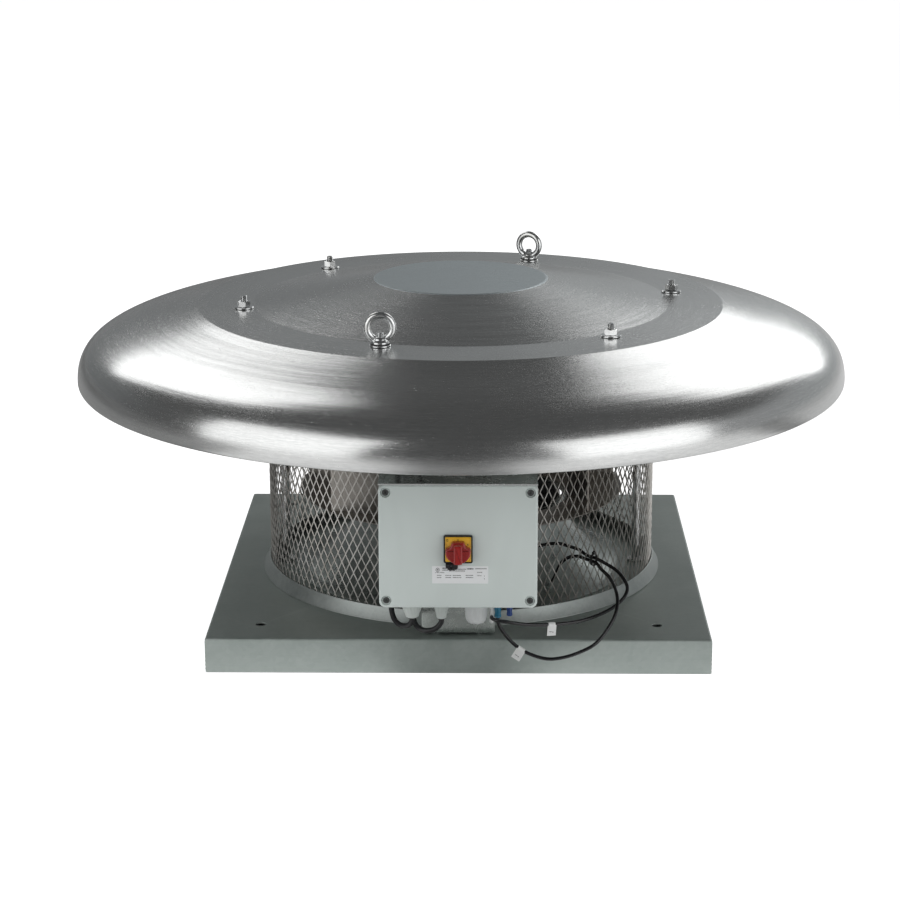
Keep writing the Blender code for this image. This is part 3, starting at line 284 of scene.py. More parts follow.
def make_fan_sheet():
    """Zinc-coated impeller sheet, lightly browned by dust."""
    m, nt, b = start("impeller_sheet", (0.36, 0.33, 0.30), 0.38, 0.85)
    c, sep, u, r = polar_coords(nt)
    a = noise(nt, c, 28.0, 5.0, 0.62, 0.5)
    brush = ring_noise(nt, u, math_node(nt, 'SUBTRACT', r, sep[2]), 4.0, 600.0, 2.0, 0.6)
    col = mix_rgb(nt, remap(nt, a, 0.3, 0.7, 0, 1), (0.30, 0.27, 0.24), (0.50, 0.475, 0.44))
    col = mix_rgb(nt, remap(nt, brush, 0.3, 0.7, 0, 0.3), col, (0.58, 0.56, 0.53))
    nt.links.new(col, b.inputs["Base Color"])
    nt.links.new(remap(nt, a, 0.3, 0.7, 0.30, 0.48), b.inputs["Roughness"])
    nt.links.new(bump(nt, brush, 0.12, 0.0005), b.inputs["Normal"])
    return m


def make_plastic(name, colour, rough, grain=2200.0, strength=0.12, var=0.05, coat=0.0, sub=0.0):
    """Moulded plastic: fine spark texture, faint flow marks, rubbed edges."""
    m, nt, b = start(name, colour, rough)
    b.inputs["Coat Weight"].default_value = coat
    b.inputs["Coat Roughness"].default_value = 0.15
    b.inputs["Subsurface Weight"].default_value = sub
    b.inputs["Subsurface Radius"].default_value = (0.004, 0.004, 0.004)
    c = coords(nt)
    flow = noise(nt, scaled(nt, c, (14, 14, 5)), 1.0, 3.0, 0.55, 0.8)
    g = noise(nt, c, grain, 2.0, 0.6)
    lo = tuple(v * (1 - var) for v in colour)
    hi = tuple(min(1.0, v * (1 + var)) for v in colour)
    col = mix_rgb(nt, remap(nt, flow, 0.3, 0.7, 0, 1), lo, hi)
    col = mix_rgb(nt, math_node(nt, 'MULTIPLY', edge_wear(nt, 0.53, 0.64), 0.35), col,
                  tuple(min(1.0, v * 1.25 + 0.02) for v in colour))
    nt.links.new(col, b.inputs["Base Color"])
    nt.links.new(math_node(nt, 'ADD', remap(nt, flow, 0.3, 0.7, rough - 0.05, rough + 0.05),
                           remap(nt, g, 0.3, 0.7, -0.04, 0.04)), b.inputs["Roughness"])
    nt.links.new(bump(nt, g, strength, 0.0002), b.inputs["Normal"])
    return m


def make_cable(name, colour, rough, grain):
    m, nt, b = start(name, colour, rough)
    c = coords(nt)
    a = noise(nt, c, grain, 3.0, 0.6)
    d = noise(nt, c, 30.0, 3.0, 0.6, 0.3)
    col = mix_rgb(nt, remap(nt, d, 0.4, 0.75, 0, 1), colour, tuple(v * 2.2 + 0.004 for v in colour))
    nt.links.new(col, b.inputs["Base Color"])
    nt.links.new(remap(nt, d, 0.3, 0.7, rough - 0.07, rough + 0.1), b.inputs["Roughness"])
    nt.links.new(bump(nt, a, 0.12, 0.0002), b.inputs["Normal"])
    return m


def make_paint(name, colour, rough):
    m, nt, b = start(name, colour, rough, 0.1)
    c = coords(nt)
    peel = noise(nt, c, 420.0, 2.0, 0.5)
    d = noise(nt, c, 22.0, 4.0, 0.6)
    col = mix_rgb(nt, remap(nt, d, 0.35, 0.75, 0, 1), colour, tuple(v * 1.7 + 0.01 for v in colour))
    nt.links.new(col, b.inputs["Base Color"])
    nt.links.new(remap(nt, d, 0.3, 0.7, rough - 0.08, rough + 0.1), b.inputs["Roughness"])
    nt.links.new(bump(nt, peel, 0.2, 0.0004), b.inputs["Normal"])
    return m


MAT = {
    "spun": make_spun(), "disc": make_disc(), "under": make_shaded_underside(),
    "sheet": make_zinc_sheet("galvanised_sheet", (0.29, 0.332, 0.314), (0.38, 0.422, 0.402), 0.42, 0.45),
    "ring": make_zinc_sheet("galvanised_ring", (0.30, 0.33, 0.32), (0.42, 0.45, 0.435), 0.36, 0.75, 26.0),
    "bracket": make_zinc_sheet("galvanised_bracket", (0.46, 0.50, 0.475), (0.62, 0.66, 0.63), 0.24, 0.9, 30.0),
    "bell": make_zinc_sheet("inlet_sheet", (0.30, 0.335, 0.325), (0.44, 0.48, 0.465), 0.30, 0.8, 14.0),
    "mesh": make_mesh_metal(),
    "steel": make_bright_steel(),
    "fan": make_fan_sheet(),
    "box": make_plastic("box_plastic", (0.69, 0.76, 0.735), 0.42, 1500.0, 0.10, 0.03),
    "screw": make_plastic("screw_plastic", (0.075, 0.08, 0.078), 0.38, var=0.2),
    "gland": make_plastic("gland_plastic", (0.60, 0.645, 0.62), 0.38, 1500.0, 0.08, 0.04),
    "white": make_plastic("white_plastic", (0.72, 0.73, 0.72), 0.40, 1500.0, 0.06, 0.03),
    "cap": make_plastic("frosted_cap", (0.66, 0.68, 0.68), 0.34, 1500.0, 0.06, 0.04, 0.1, 0.25),
    "cyan": make_plastic("fitting_blue", (0.012, 0.16, 0.27), 0.25, 1500.0, 0.05, 0.08, 0.3),
    "blue": make_plastic("fitting_dark_blue", (0.010, 0.045, 0.20), 0.25, 1500.0, 0.05, 0.08, 0.3),
    "black": make_plastic("black_plastic", (0.016, 0.016, 0.017), 0.36, 1500.0, 0.12, 0.15),
    "gasket": make_plastic("gasket_rubber", (0.03, 0.03, 0.03), 0.7, 1500.0, 0.2, 0.1),
    "yellow": make_plastic("yellow_plastic", (0.93, 0.54, 0.04), 0.34, 1500.0, 0.06, 0.05, 0.2),
    "red": make_plastic("red_plastic", (0.36, 0.012, 0.010), 0.30, 1500.0, 0.08, 0.08, 0.25),
    "print": make_plastic("print_ink", (0.012, 0.012, 0.014), 0.5, 1500.0, 0.05, 0.1),
    "label": make_plastic("label_paper", (0.87, 0.90, 0.91), 0.45, 1200.0, 0.04, 0.02),
    "cable": make_cable("cable_rubber", (0.009, 0.009, 0.010), 0.42, 1600.0),
    "tube": make_cable("pressure_tube", (0.006, 0.006, 0.007), 0.16, 300.0),
    "motor": make_paint("motor_paint", (0.045, 0.05, 0.055), 0.45),
}


# =============================================================== mesh helpers
def piece(name, verts, faces, mat, body="housing", replaces=(), smooth=30, mats=None, indices=None):
    """A mesh drawn in world millimetres, as one named piece that rides on a body."""
    me = bpy.data.meshes.new(name)
    me.from_pydata([tuple(float(c) * MM for c in v) for v in verts], [], [tuple(f) for f in faces])
    return settle(name, me, mat, body, replaces, smooth, mats, indices)


def settle(name, me, mat, body="housing", replaces=(), smooth=30, mats=None, indices=None, tidy=True):
    if tidy:
        bm = bmesh.new()
        bm.from_mesh(me)
        bmesh.ops.recalc_face_normals(bm, faces=bm.faces)
        bm.to_mesh(me)
        bm.free()
    for mt in (mats or [mat]):
        me.materials.append(MAT[mt])
    if indices is not None:
        me.polygons.foreach_set("material_index", indices)
    for p in me.polygons:
        p.use_smooth = True
    if smooth is not None:
        me.set_sharp_from_angle(angle=math.radians(smooth))
    ob = bpy.data.objects.new(name, me)
    SCENE.collection.objects.link(ob)
    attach(ob, body)
    if replaces:
        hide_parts(*([replaces] if isinstance(replaces, str) else replaces))
    return ob


class Build:
    """Collects closed shells, in world millimetres, into one mesh."""

    def __init__(self):
        self.v, self.f, self.m = [], [], []
        self.mat = 0

    def add(self, verts, faces):
        o = len(self.v)
        self.v += [tuple(p) for p in verts]
        for f in faces:
            self.f.append(tuple(i + o for i in f))
            self.m.append(self.mat)
        return self

    def revolve(self, profile, segs, centre=(0.0, 0.0), frame_m=None, turn=0.0, closed=True):
        """(r, h) outline turned about Z at centre, or about frame_m's Z."""
        verts, rings = [], []
        for r, h in profile:
            if abs(r) < 1e-6:
                rings.append([len(verts)])
                verts.append(Vector((0, 0, h)))
            else:
                row = []
                for i in range(segs):
                    a = turn + 2 * math.pi * i / segs
                    row.append(len(verts))
                    verts.append(Vector((r * math.cos(a), r * math.sin(a), h)))
                rings.append(row)
        M = frame_m or Matrix.Translation((centre[0], centre[1], 0))
        verts = [M @ v for v in verts]
        faces, n = [], len(rings)
        for k in range(n if closed else n - 1):
            a, b = rings[k], rings[(k + 1) % n]
            if len(a) == 1 and len(b) == 1:
                continue
            for i in range(segs):
                j = (i + 1) % segs
                if len(a) == 1:
                    faces.append((a[0], b[i], b[j]))
                elif len(b) == 1:
                    faces.append((a[i], b[0], a[j]))
                else:
                    faces.append((a[i], b[i], b[j], a[j]))
        return self.add(verts, faces)

    def prism(self, outline, M, h0, h1, chamfer0=0.0, chamfer1=0.0, steps=4):
        """Outline in the local XY plane, extruded along local Z, with rounded ends."""
        o = [Vector((x, y, 0)) for x, y in outline]
        n = len(o)
        area = sum(o[i].x * o[(i + 1) % n].y - o[(i + 1) % n].x * o[i].y for i in range(n))
        s = 1.0 if area > 0 else -1.0
        nrm = []
        for i in range(n):
            d = (o[(i + 1) % n] - o[i - 1])
            d.normalize()
            nrm.append(Vector((-d.y, d.x, 0)) * s)
        rows = []
        layers = []
        if chamfer0 > 0:
            for k in range(steps + 1):
                a = math.pi / 2 * k / steps
                layers.append((chamfer0 * (1 - math.sin(a)), h0 + chamfer0 * (1 - math.cos(a)) * (1 if h1 > h0 else -1)))
        else:
            layers.append((0.0, h0))
        if chamfer1 > 0:
            for k in range(steps + 1):
                a = math.pi / 2 * (1 - k / steps)
                layers.append((chamfer1 * (1 - math.sin(a)), h1 - chamfer1 * (1 - math.cos(a)) * (1 if h1 > h0 else -1)))
        else:
            layers.append((0.0, h1))
        verts = []
        for inset, h in layers:
            row = []
            for i in range(n):
                row.append(len(verts))
                verts.append(M @ (o[i] + nrm[i] * inset + Vector((0, 0, h))))
            rows.append(row)
        faces = [tuple(reversed(rows[0])), tuple(rows[-1])]
        for a, b in zip(rows, rows[1:]):
            for i in range(n):
                j = (i + 1) % n
                faces.append((a[i], a[j], b[j], b[i]))
        return self.add(verts, faces)

    def box(self, lo, hi, r=0.0, steps=3):
        """Box with rounded vertical edges and softened faces."""
        c = [(a + b) / 2 for a, b in zip(lo, hi)]
        d = [abs(b - a) for a, b in zip(lo, hi)]
        r = min(r, d[0] / 2.02, d[1] / 2.02, d[2] / 2.02)
        out = rounded(c[0], c[1], d[0], d[1], max(r, 0.01), steps)
        return self.prism(out, Matrix.Identity(4), min(lo[2], hi[2]), max(lo[2], hi[2]), r, r, steps)

    def sweep(self, pts, section, normal_hint=Vector((0, 0, 1))):
        """Closed (u, v) section carried along points."""
        pts = [Vector(p) for p in pts]
        rows, verts = [], []
        for i, p in enumerate(pts):
            d = (pts[min(i + 1, len(pts) - 1)] - pts[max(i - 1, 0)]).normalized()
            s = d.cross(normal_hint)
            if s.length < 1e-4:
                s = d.cross(Vector((1, 0, 0)))
            s.normalize()
            t = s.cross(d).normalized()
            row = []
            for u, v in section:
                row.append(len(verts))
                verts.append(p + s * u + t * v)
            rows.append(row)
        n = len(section)
        faces = [tuple(reversed(rows[0])), tuple(rows[-1])]
        for a, b in zip(rows, rows[1:]):
            for i in range(n):
                j = (i + 1) % n
                faces.append((a[i], a[j], b[j], b[i]))
        return self.add(verts, faces)

    def done(self, name, mat, body="housing", replaces=(), smooth=30, mats=None):
        return piece(name, self.v, self.f, mat, body, replaces, smooth, mats,
                     self.m if mats else None)


def rounded(cx, cy, w, h, r, n=6):
    pts = []
    for k, (sx, sy) in enumerate(((1, 1), (-1, 1), (-1, -1), (1, -1))):
        for i in range(n + 1):
            a = math.radians(90 * k + 90 * i / n)
            pts.append((cx + sx * (w / 2 - r) + r * math.cos(a), cy + sy * (h / 2 - r) + r * math.sin(a)))
    return pts


def circle(r, n, turn=0.0, cx=0.0, cy=0.0):
    return [(cx + r * math.cos(turn + 2 * math.pi * i / n), cy + r * math.sin(turn + 2 * math.pi * i / n)) for i in range(n)]


def front_frame(x=0.0, y=0.0, z=0.0):
    """Local X to the right, local Y up, local Z towards -Y, at the given point."""
    return Matrix(((1, 0, 0, x), (0, 0, -1, y), (0, 1, 0, z), (0, 0, 0, 1)))


def axis_frame(p, d):
    q = Vector(d).normalized().to_track_quat('Z', 'Y').to_matrix().to_4x4()
    return Matrix.Translation(p) @ q


def polar(r, deg, z=0.0):
    a = math.radians(deg)
    return Vector((r * math.cos(a), r * math.sin(a), z))


def bezier(p0, p1, p2, p3, n):
    out = []
    for i in range(n + 1):
        u = i / n
        v = 1 - u
        out.append(tuple(v ** 3 * a + 3 * v * v * u * b + 3 * v * u * u * c + u ** 3 * d
                         for a, b, c, d in zip(p0, p1, p2, p3)))
    return out


def fillet(points, radii, n=5):
    """Polyline with each inner corner rounded to its radius."""
    out = [Vector(points[0])]
    for i in range(1, len(points) - 1):
        a, p, b = Vector(points[i - 1]), Vector(points[i]), Vector(points[i + 1])
        r = radii[i]
        u, v = (a - p).normalized(), (b - p).normalized()
        ang = u.angle(v)
        if r <= 0 or abs(math.pi - ang) < 1e-3:
            out.append(p)
            continue
        t = min(r / math.tan(ang / 2), (a - p).length * 0.48, (b - p).length * 0.48)
        s, e = p + u * t, p + v * t
        for k in range(n + 1):
            w = k / n
            out.append(s * (1 - w) ** 2 + p * 2 * w * (1 - w) + e * w * w)
    out.append(Vector(points[-1]))
    return [tuple(q) for q in out]


def sheet(points, t, side=-1.0, round_ends=True):
    """Closed outline of a bent sheet with softly rounded edges."""
    pts = [Vector(p) for p in points]
    nrm = []
    for i, p in enumerate(pts):
        d = Vector((0, 0))
        if i > 0:
            d += (p - pts[i - 1]).normalized()
        if i < len(pts) - 1:
            d += (pts[i + 1] - p).normalized()
        d.normalize()
        k = 1.0
        if 0 < i < len(pts) - 1:
            k = 1.0 / max(0.6, abs(d.dot((pts[i + 1] - p).normalized())))
        nrm.append(Vector((d.y, -d.x)) * side * k)
    out = []
    for i, p in enumerate(pts):
        q = p + nrm[i] * t
        if abs(p.x) < 1e-6:
            q.x = 0.0
        out.append(q)
    if not round_ends:
        return [tuple(p) for p in pts] + [tuple(p) for p in reversed(out)]
    e = (pts[-1] - pts[-2]).normalized() * t * 0.35
    m0 = (pts[-1] + out[-1]) / 2 + e
    res = [tuple(p) for p in pts] + [tuple(m0 * 0.5 + pts[-1] * 0.5 + e * 0.2), tuple(m0), tuple(m0 * 0.5 + out[-1] * 0.5 + e * 0.2)]
    return res + [tuple(p) for p in reversed(out)]


def apply_modifiers(ob):
    """Bakes an object's modifiers into its mesh and returns the mesh."""
    bpy.context.view_layer.update()
    dg = bpy.context.evaluated_depsgraph_get()
    me = bpy.data.meshes.new_from_object(ob.evaluated_get(dg))
    return me


def raw(name, build):
    """A helper object that isn't shown, for cutting and merging."""
    me = bpy.data.meshes.new(name)
    me.from_pydata([tuple(float(c) * MM for c in v) for v in build.v], [], build.f)
    bm = bmesh.new()
    bm.from_mesh(me)
    bmesh.ops.recalc_face_normals(bm, faces=bm.faces)
    bm.to_mesh(me)
    bm.free()
    ob = bpy.data.objects.new(name, me)
    SCENE.collection.objects.link(ob)
    return ob


def carve(build, cutters, op='DIFFERENCE'):
    """Exact Boolean of helper shells; returns the resulting mesh."""
    ob = raw("work", build)
    for c in cutters:
        h = raw("cut", c)
        mod = ob.modifiers.new("b", 'BOOLEAN')
        mod.operation, mod.solver, mod.object = op, 'EXACT', h
        me = apply_modifiers(ob)
        ob.modifiers.clear()
        old, ob.data = ob.data, me
        bpy.data.meshes.remove(old)
        bpy.data.objects.remove(h, do_unlink=True)
    me = ob.data
    bpy.data.objects.remove(ob, do_unlink=True)
    bm = bmesh.new()
    bm.from_mesh(me)
    bmesh.ops.remove_doubles(bm, verts=bm.verts, dist=0.000004)
    bmesh.ops.dissolve_degenerate(bm, edges=bm.edges, dist=0.000002)
    bm.to_mesh(me)
    bm.free()
    me.materials.clear()
    for p in me.polygons:
        p.material_index = 0
    return me


# ========================================================= dimensions, as in CAD
BASE_HEIGHT, GAP = 50.0, 0.3
GUARD_R, GUARD_WALL = 291.2, 1.8
TUBE_AZIMUTH, TUBE_PASS_Z = -49.1, 124.5
PLATE_Z, PLATE_SHEET = 350.0, 2.5
STUD_CIRCLE_R, STUD_FIRST = 324.5, 10.8
BOX_CX, BOX_CZ, BOX_W, BOX_H = 1.2, 208.2, 214.8, 173.6
BOX_FRONT_Y, BOX_BACK_Y, BOX_LID_T = -426.0, -340.3, 14.0
SWITCH_X, SWITCH_Z, SWITCH_SIDE = 1.5, 206.5, 39.4
GLAND_Y = -381.0
CABLE_D, TUBE_D = 7.5, 5.0
CABLE_HOLES = ((-84.0, -304.0), (-52.0, -311.0))
GLANDS = ((-63.0, 10.2, 92.0), (-22.5, 8.2, 91.0), (25.5, 10.2, 84.4), (46.8, 2.9, 84.0), (55.4, 4.1, 92.6),
          (71.5, 3.6, 94.9))


# ================================================================ cords first
def bell_curve(n=6):
    z0 = BASE_HEIGHT + GAP + 2.0
    return bezier((238.0, z0), (202, z0 + 14), (153.0, 112), (151.0, 160.0), n)


def tap(az, r, length=9.0):
    pts = bell_curve(40)
    for (r0, z0), (r1, z1) in zip(pts, pts[1:]):
        if r1 <= r <= r0:
            u = (r0 - r) / (r0 - r1)
            z = z0 + (z1 - z0) * u
            nr, nz = (z1 - z0), (r0 - r1)
            l = math.hypot(nr, nz)
            a = math.radians(az)
            p = Vector((r * math.cos(a), r * math.sin(a), z))
            n = Vector((math.cos(a) * nr / l, math.sin(a) * nr / l, nz / l))
            return {"root": p - n, "tip": p + n * length, "dir": n}


TAPS = (tap(-68.0, 172.0), tap(-52.0, 214.0))


def smooth_path(points, step):
    P = [Vector(p) for p in points]
    P = [P[0] * 2 - P[1]] + P + [P[-1] * 2 - P[-2]]
    fine = []
    for i in range(1, len(P) - 2):
        p0, p1, p2, p3 = P[i - 1], P[i], P[i + 1], P[i + 2]
        t0 = 0.0
        t1 = t0 + (p1 - p0).length ** 0.5
        t2 = t1 + (p2 - p1).length ** 0.5
        t3 = t2 + (p3 - p2).length ** 0.5
        for k in range(24):
            t = t1 + (t2 - t1) * k / 24
            a1 = p0 * ((t1 - t) / (t1 - t0)) + p1 * ((t - t0) / (t1 - t0))
            a2 = p1 * ((t2 - t) / (t2 - t1)) + p2 * ((t - t1) / (t2 - t1))
            a3 = p2 * ((t3 - t) / (t3 - t2)) + p3 * ((t - t2) / (t3 - t2))
            b1 = a1 * ((t2 - t) / (t2 - t0)) + a2 * ((t - t0) / (t2 - t0))
            b2 = a2 * ((t3 - t) / (t3 - t1)) + a3 * ((t - t1) / (t3 - t1))
            fine.append(b1 * ((t2 - t) / (t2 - t1)) + b2 * ((t - t1) / (t2 - t1)))
    fine.append(P[-2])
    for _ in range(6):
        new = [fine[0], fine[1]]
        for i in range(2, len(fine) - 2):
            new.append(fine[i] * 0.5 + (fine[i - 1] + fine[i + 1]) * 0.25)
        fine = new + [fine[-2], fine[-1]]
    total = sum((b - a).length for a, b in zip(fine, fine[1:]))
    n = max(8, round(total / step))
    out = [fine[0]]
    acc, want = 0.0, total / n
    for a, b in zip(fine, fine[1:]):
        seg = (b - a).length
        while seg > 0 and acc + seg >= want * len(out) - 1e-9 and len(out) < n:
            out.append(a.lerp(b, (want * len(out) - acc) / seg))
        acc += seg
    out.append(fine[-1])
    return out


def cable_route(k):
    x, y = CABLE_HOLES[k]
    if k == 0:
        start_pts = [(-63, GLAND_Y, 91.6), (-63, GLAND_Y, 87.5), (-68, -377, 79), (-79, -367, 75), (-89, -352, 79),
                     (-94, -336, 93), (-94.5, -321, 118), (-91, -311, 155)]
    else:
        start_pts = [(-22.5, GLAND_Y, 90.6), (-22.5, GLAND_Y, 85.5), (-31, -380, 75), (-44, -377, 71), (-56, -368, 73),
                     (-62, -354, 81), (-61, -339, 94), (-57, -325, 112)]
    rise = [(x - 1.2 + k, y - 1, 185), (x, y, 230), (x, y, 300), (x, y, 350)]
    inward = Vector((x, y, 0)).normalized()
    tail = [(x, y, 366), (inward.x * 295, inward.y * 295, 384), (inward.x * 260, inward.y * 260, 390),
            (inward.x * 180, inward.y * 180, 389), (inward.x * 130, inward.y * 130, 388),
            (inward.x * 95.4, inward.y * 95.4, 388)]
    return start_pts + rise + tail


def tube_route(k):
    if k == 0:
        start_pts = [(46.8, GLAND_Y - 8.4, 96), (46.8, -394.5, 96), (53, -403, 95.5), (66, -404, 94), (94, -398, 88),
                     (124, -388, 84), (150, -376, 82), (175, -360, 81), (207, -333, 84), (225, -313, 89),
                     (236, -299, 97), (239, -289, 105), (235, -279, 113), (226, -266, 121), (211, -248, 126)]
        inside = [(174, -195, 130), (160, -182, 131), (140, -168, 131)]
    else:
        start_pts = [(55.4, GLAND_Y, 92.2), (55.4, GLAND_Y, 86), (60.5, -382, 75), (73, -384, 59), (88, -387, 47),
                     (107, -389, 38.5), (126, -390, 34.5), (146, -388, 36), (167, -384, 41.5), (190, -378, 52),
                     (207, -365, 68), (219, -349, 85), (223, -333, 99), (221, -314, 110), (214, -286, 118),
                     (203, -256, 121)]
        inside = [(170, -200, 122), (158, -195, 118), (148, -190, 108)]
    dz = 3.1 if k == 0 else -3.1
    a = polar(GUARD_R + 8, TUBE_AZIMUTH, TUBE_PASS_Z + dz)
    b = polar(GUARD_R - 10, TUBE_AZIMUTH, TUBE_PASS_Z + dz)
    tip, n = TAPS[k]["tip"], TAPS[k]["dir"]
    return start_pts + [tuple(a), tuple(b)] + inside + [tuple(tip + n * 14), tuple(tip + n * 7), tuple(tip + n * GAP)]


def cord_curve(name, route, d, mat, node_name):
    pts = smooth_path(route, 3.0)
    cu = bpy.data.curves.new(name, 'CURVE')
    cu.dimensions = '3D'
    cu.bevel_depth = d / 2 * MM
    cu.bevel_resolution = 6
    cu.use_fill_caps = True
    sp = cu.splines.new('POLY')
    sp.points.add(len(pts) - 1)
    for q, p in zip(sp.points, pts):
        q.co = (p.x * MM, p.y * MM, p.z * MM, 1.0)
    sp.use_smooth = True
    cu.materials.append(MAT[mat])
    ob = bpy.data.objects.new(name, cu)
    SCENE.collection.objects.link(ob)
    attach(ob, "housing")
    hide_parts(node_name)
    return ob, pts


for k in (0, 1):
    cord_curve("motor_cable_%d_sheath" % (k + 1), cable_route(k), CABLE_D, "cable",
                                      "motor_cable_%d" % (k + 1))
    cord_curve("pressure_tube_%d_pipe" % (k + 1), tube_route(k), TUBE_D, "tube",
                                     "pressure_tube_%d" % (k + 1))


def make_flags():
    out = []
    for k, (i0, size) in enumerate((((130, -386), (13.0, 14.6)), ((88, -387), (13.0, 15.0)))):
        pts = smooth_path(tube_route(k), 2.0)
        best = min(pts, key=lambda p: abs(p.x - i0[0]) + (0 if p.y < -370 else 500))
        i = pts.index(best)
        d = (pts[i + 2] - pts[i - 2]).normalized()
        side = d.cross(Vector((0, 1, 0))).normalized()
        if side.z > 0:
            side = -side
        B = Build()
        B.revolve([(TUBE_D / 2 + 0.3, -5), (TUBE_D / 2 + 0.3, 5), (TUBE_D / 2 + 0.6, 5.2), (TUBE_D / 2 + 1.1, 4.8),
                   (TUBE_D / 2 + 1.1, -4.8), (TUBE_D / 2 + 0.6, -5.2)], 32, frame_m=axis_frame(best, d))
        w, h = size
        nrm = d.cross(side).normalized()
        if nrm.y > 0:
            nrm = -nrm
        # label folded over the tube: a slightly curved card
        gx, gz = 9, 8
        verts, faces = [], []
        for layer in (0, 1):
            for iz in range(gz + 1):
                for ix in range(gx + 1):
                    u = (ix / gx - 0.5) * w
                    v = h * iz / gz
                    bow = 0.9 * (iz / gz) ** 2 + 0.25 * math.sin(ix / gx * math.pi)
                    q = best + d * u + side * v + nrm * (TUBE_D / 2 + 0.7 + bow - layer * 0.5)
                    verts.append(q)
        N = (gx + 1) * (gz + 1)
        for iz in range(gz):
            for ix in range(gx):
                a = iz * (gx + 1) + ix
                faces.append((a, a + 1, a + gx + 2, a + gx + 1))
                faces.append((N + a, N + a + gx + 1, N + a + gx + 2, N + a + 1))
        edge = [ix for ix in range(gx + 1)] + [(iz + 1) * (gx + 1) - 1 for iz in range(1, gz + 1)]
        edge += [gz * (gx + 1) + ix for ix in range(gx - 1, -1, -1)] + [iz * (gx + 1) for iz in range(gz - 1, 0, -1)]
        for a, b in zip(edge, edge[1:] + edge[:1]):
            faces.append((a, b, N + b, N + a))
        B.add(verts, faces)
        B.mat = 1
        # a few generic marks on the flag
        for (u0, v0, lu, lv) in ((-1.5, h * 0.62, 3.4, 0.7), (1.8, h * 0.66, 1.4, 1.1), (-3.8, h * 0.60, 0.8, 0.5)):
            bow = 0.9 * (v0 / h) ** 2 + 0.25 * math.sin((u0 / w + 0.5) * math.pi)
            c = best + d * u0 + side * v0 + nrm * (TUBE_D / 2 + 0.78 + bow)
            vs = [c + d * (sx * lu / 2) + side * (sy * lv / 2) + nrm * (sz * 0.05)
                  for sz in (-1, 1) for sy in (-1, 1) for sx in (-1, 1)]
            B.add(vs, [(0, 1, 3, 2), (4, 6, 7, 5), (0, 4, 5, 1), (2, 3, 7, 6), (0, 2, 6, 4), (1, 5, 7, 3)])
        out.append(B.done("tube_flag_%d_label" % (k + 1), "white", replaces="tube_flag_%d" % (k + 1),
                          mats=["white", "print"]))
    return out


flags = make_flags()


# ======================================================================= hood
def supported(pts, step, hold):
    """Splits long straight runs, with a holding point close to each end, so that flat parts shade flat."""
    out = [pts[0]]
    for a, b in zip(pts, pts[1:]):
        l = math.dist(a, b)
        if l > step * 1.2:
            n = int(l / step)
            ts = [hold / l] + [(k + 1) / (n + 1) for k in range(n)] + [1 - hold / l]
            out += [tuple(x + (y - x) * t for x, y in zip(a, b)) for t in ts]
        out.append(b)
    return out


def make_hood():
    face = [(0.0, 494.0), (60.0, 494.0), (127.2, 494.0), (130.2, 492.6), (310.0, 459.0), (389.3, 458.2)]
    curve = bezier((389.3, 458.2), (494.7, 426.6), (571.3, 428.9), (571.3, 357.0), 46)
    face = fillet(face + [curve[2]], [0, 0, 1.2, 2.5, 10.0, 7.0, 0], 6)[:-1] + curve[2:]
    face = [p for i, p in enumerate(face) if i == 0 or math.dist(p, face[i - 1]) > 0.15]
    face = supported(face, 14.0, 0.8)
    face += [(571.25, 355.4), (570.9, 353.9), (570.1, 352.3), (568.9, 351.0), (567.3, 350.2), (565.5, 349.75), (563.5, 349.6)]
    B = Build()
    B.revolve(sheet(face, 2.0, side=1.0), 288)
    ob = B.done("hood_shell", "spun", replaces="hood", smooth=26, mats=["spun", "disc", "under"])
    # faces pointing down or inward take the dark inside material: painted shade under the hood
    for p in ob.data.polygons:
        q, n = p.center, p.normal
        r = math.hypot(q.x, q.y)
        if r < 0.1290 and n.z > 0.9:
            p.material_index = 1
        elif (n.z < -0.15 or (r > 0.2 and (n.x * q.x + n.y * q.y) / r < -0.2)) and not (r > 0.5634 and q.z < 0.3570):
            p.material_index = 2
    return ob


make_hood()


# ================================================================ hood fixings
def hex_radius(a, flat):
    m = (a % (math.pi / 3)) - math.pi / 6
    return flat / math.cos(m)


def add_nut(B, c, z0, h, flat, bore, turn, segs=72):
    """Hexagon nut with conical chamfers and a countersunk thread mouth."""
    ch = flat * 0.985
    k = math.tan(math.radians(28))
    rows = []
    for kind in range(8):
        row = []
        for i in range(segs):
            a = 2 * math.pi * i / segs
            rh = hex_radius(a, flat)
            drop = (rh - ch) * k
            r, z = [(bore, z0 + 0.9), (bore + 0.9, z0), (ch, z0), (rh, z0 + drop), (rh, z0 + h - drop), (ch, z0 + h),
                    (bore + 0.9, z0 + h), (bore, z0 + h - 0.9)][kind]
            row.append((c[0] + r * math.cos(a + turn), c[1] + r * math.sin(a + turn), z))
        rows.append(row)
    verts = [p for r in rows for p in r]
    faces = []
    n = len(rows)
    for q in range(n):
        for i in range(segs):
            j = (i + 1) % segs
            a, b = q * segs, ((q + 1) % n) * segs
            faces.append((a + i, b + i, b + j, a + j))
    B.add(verts, faces)


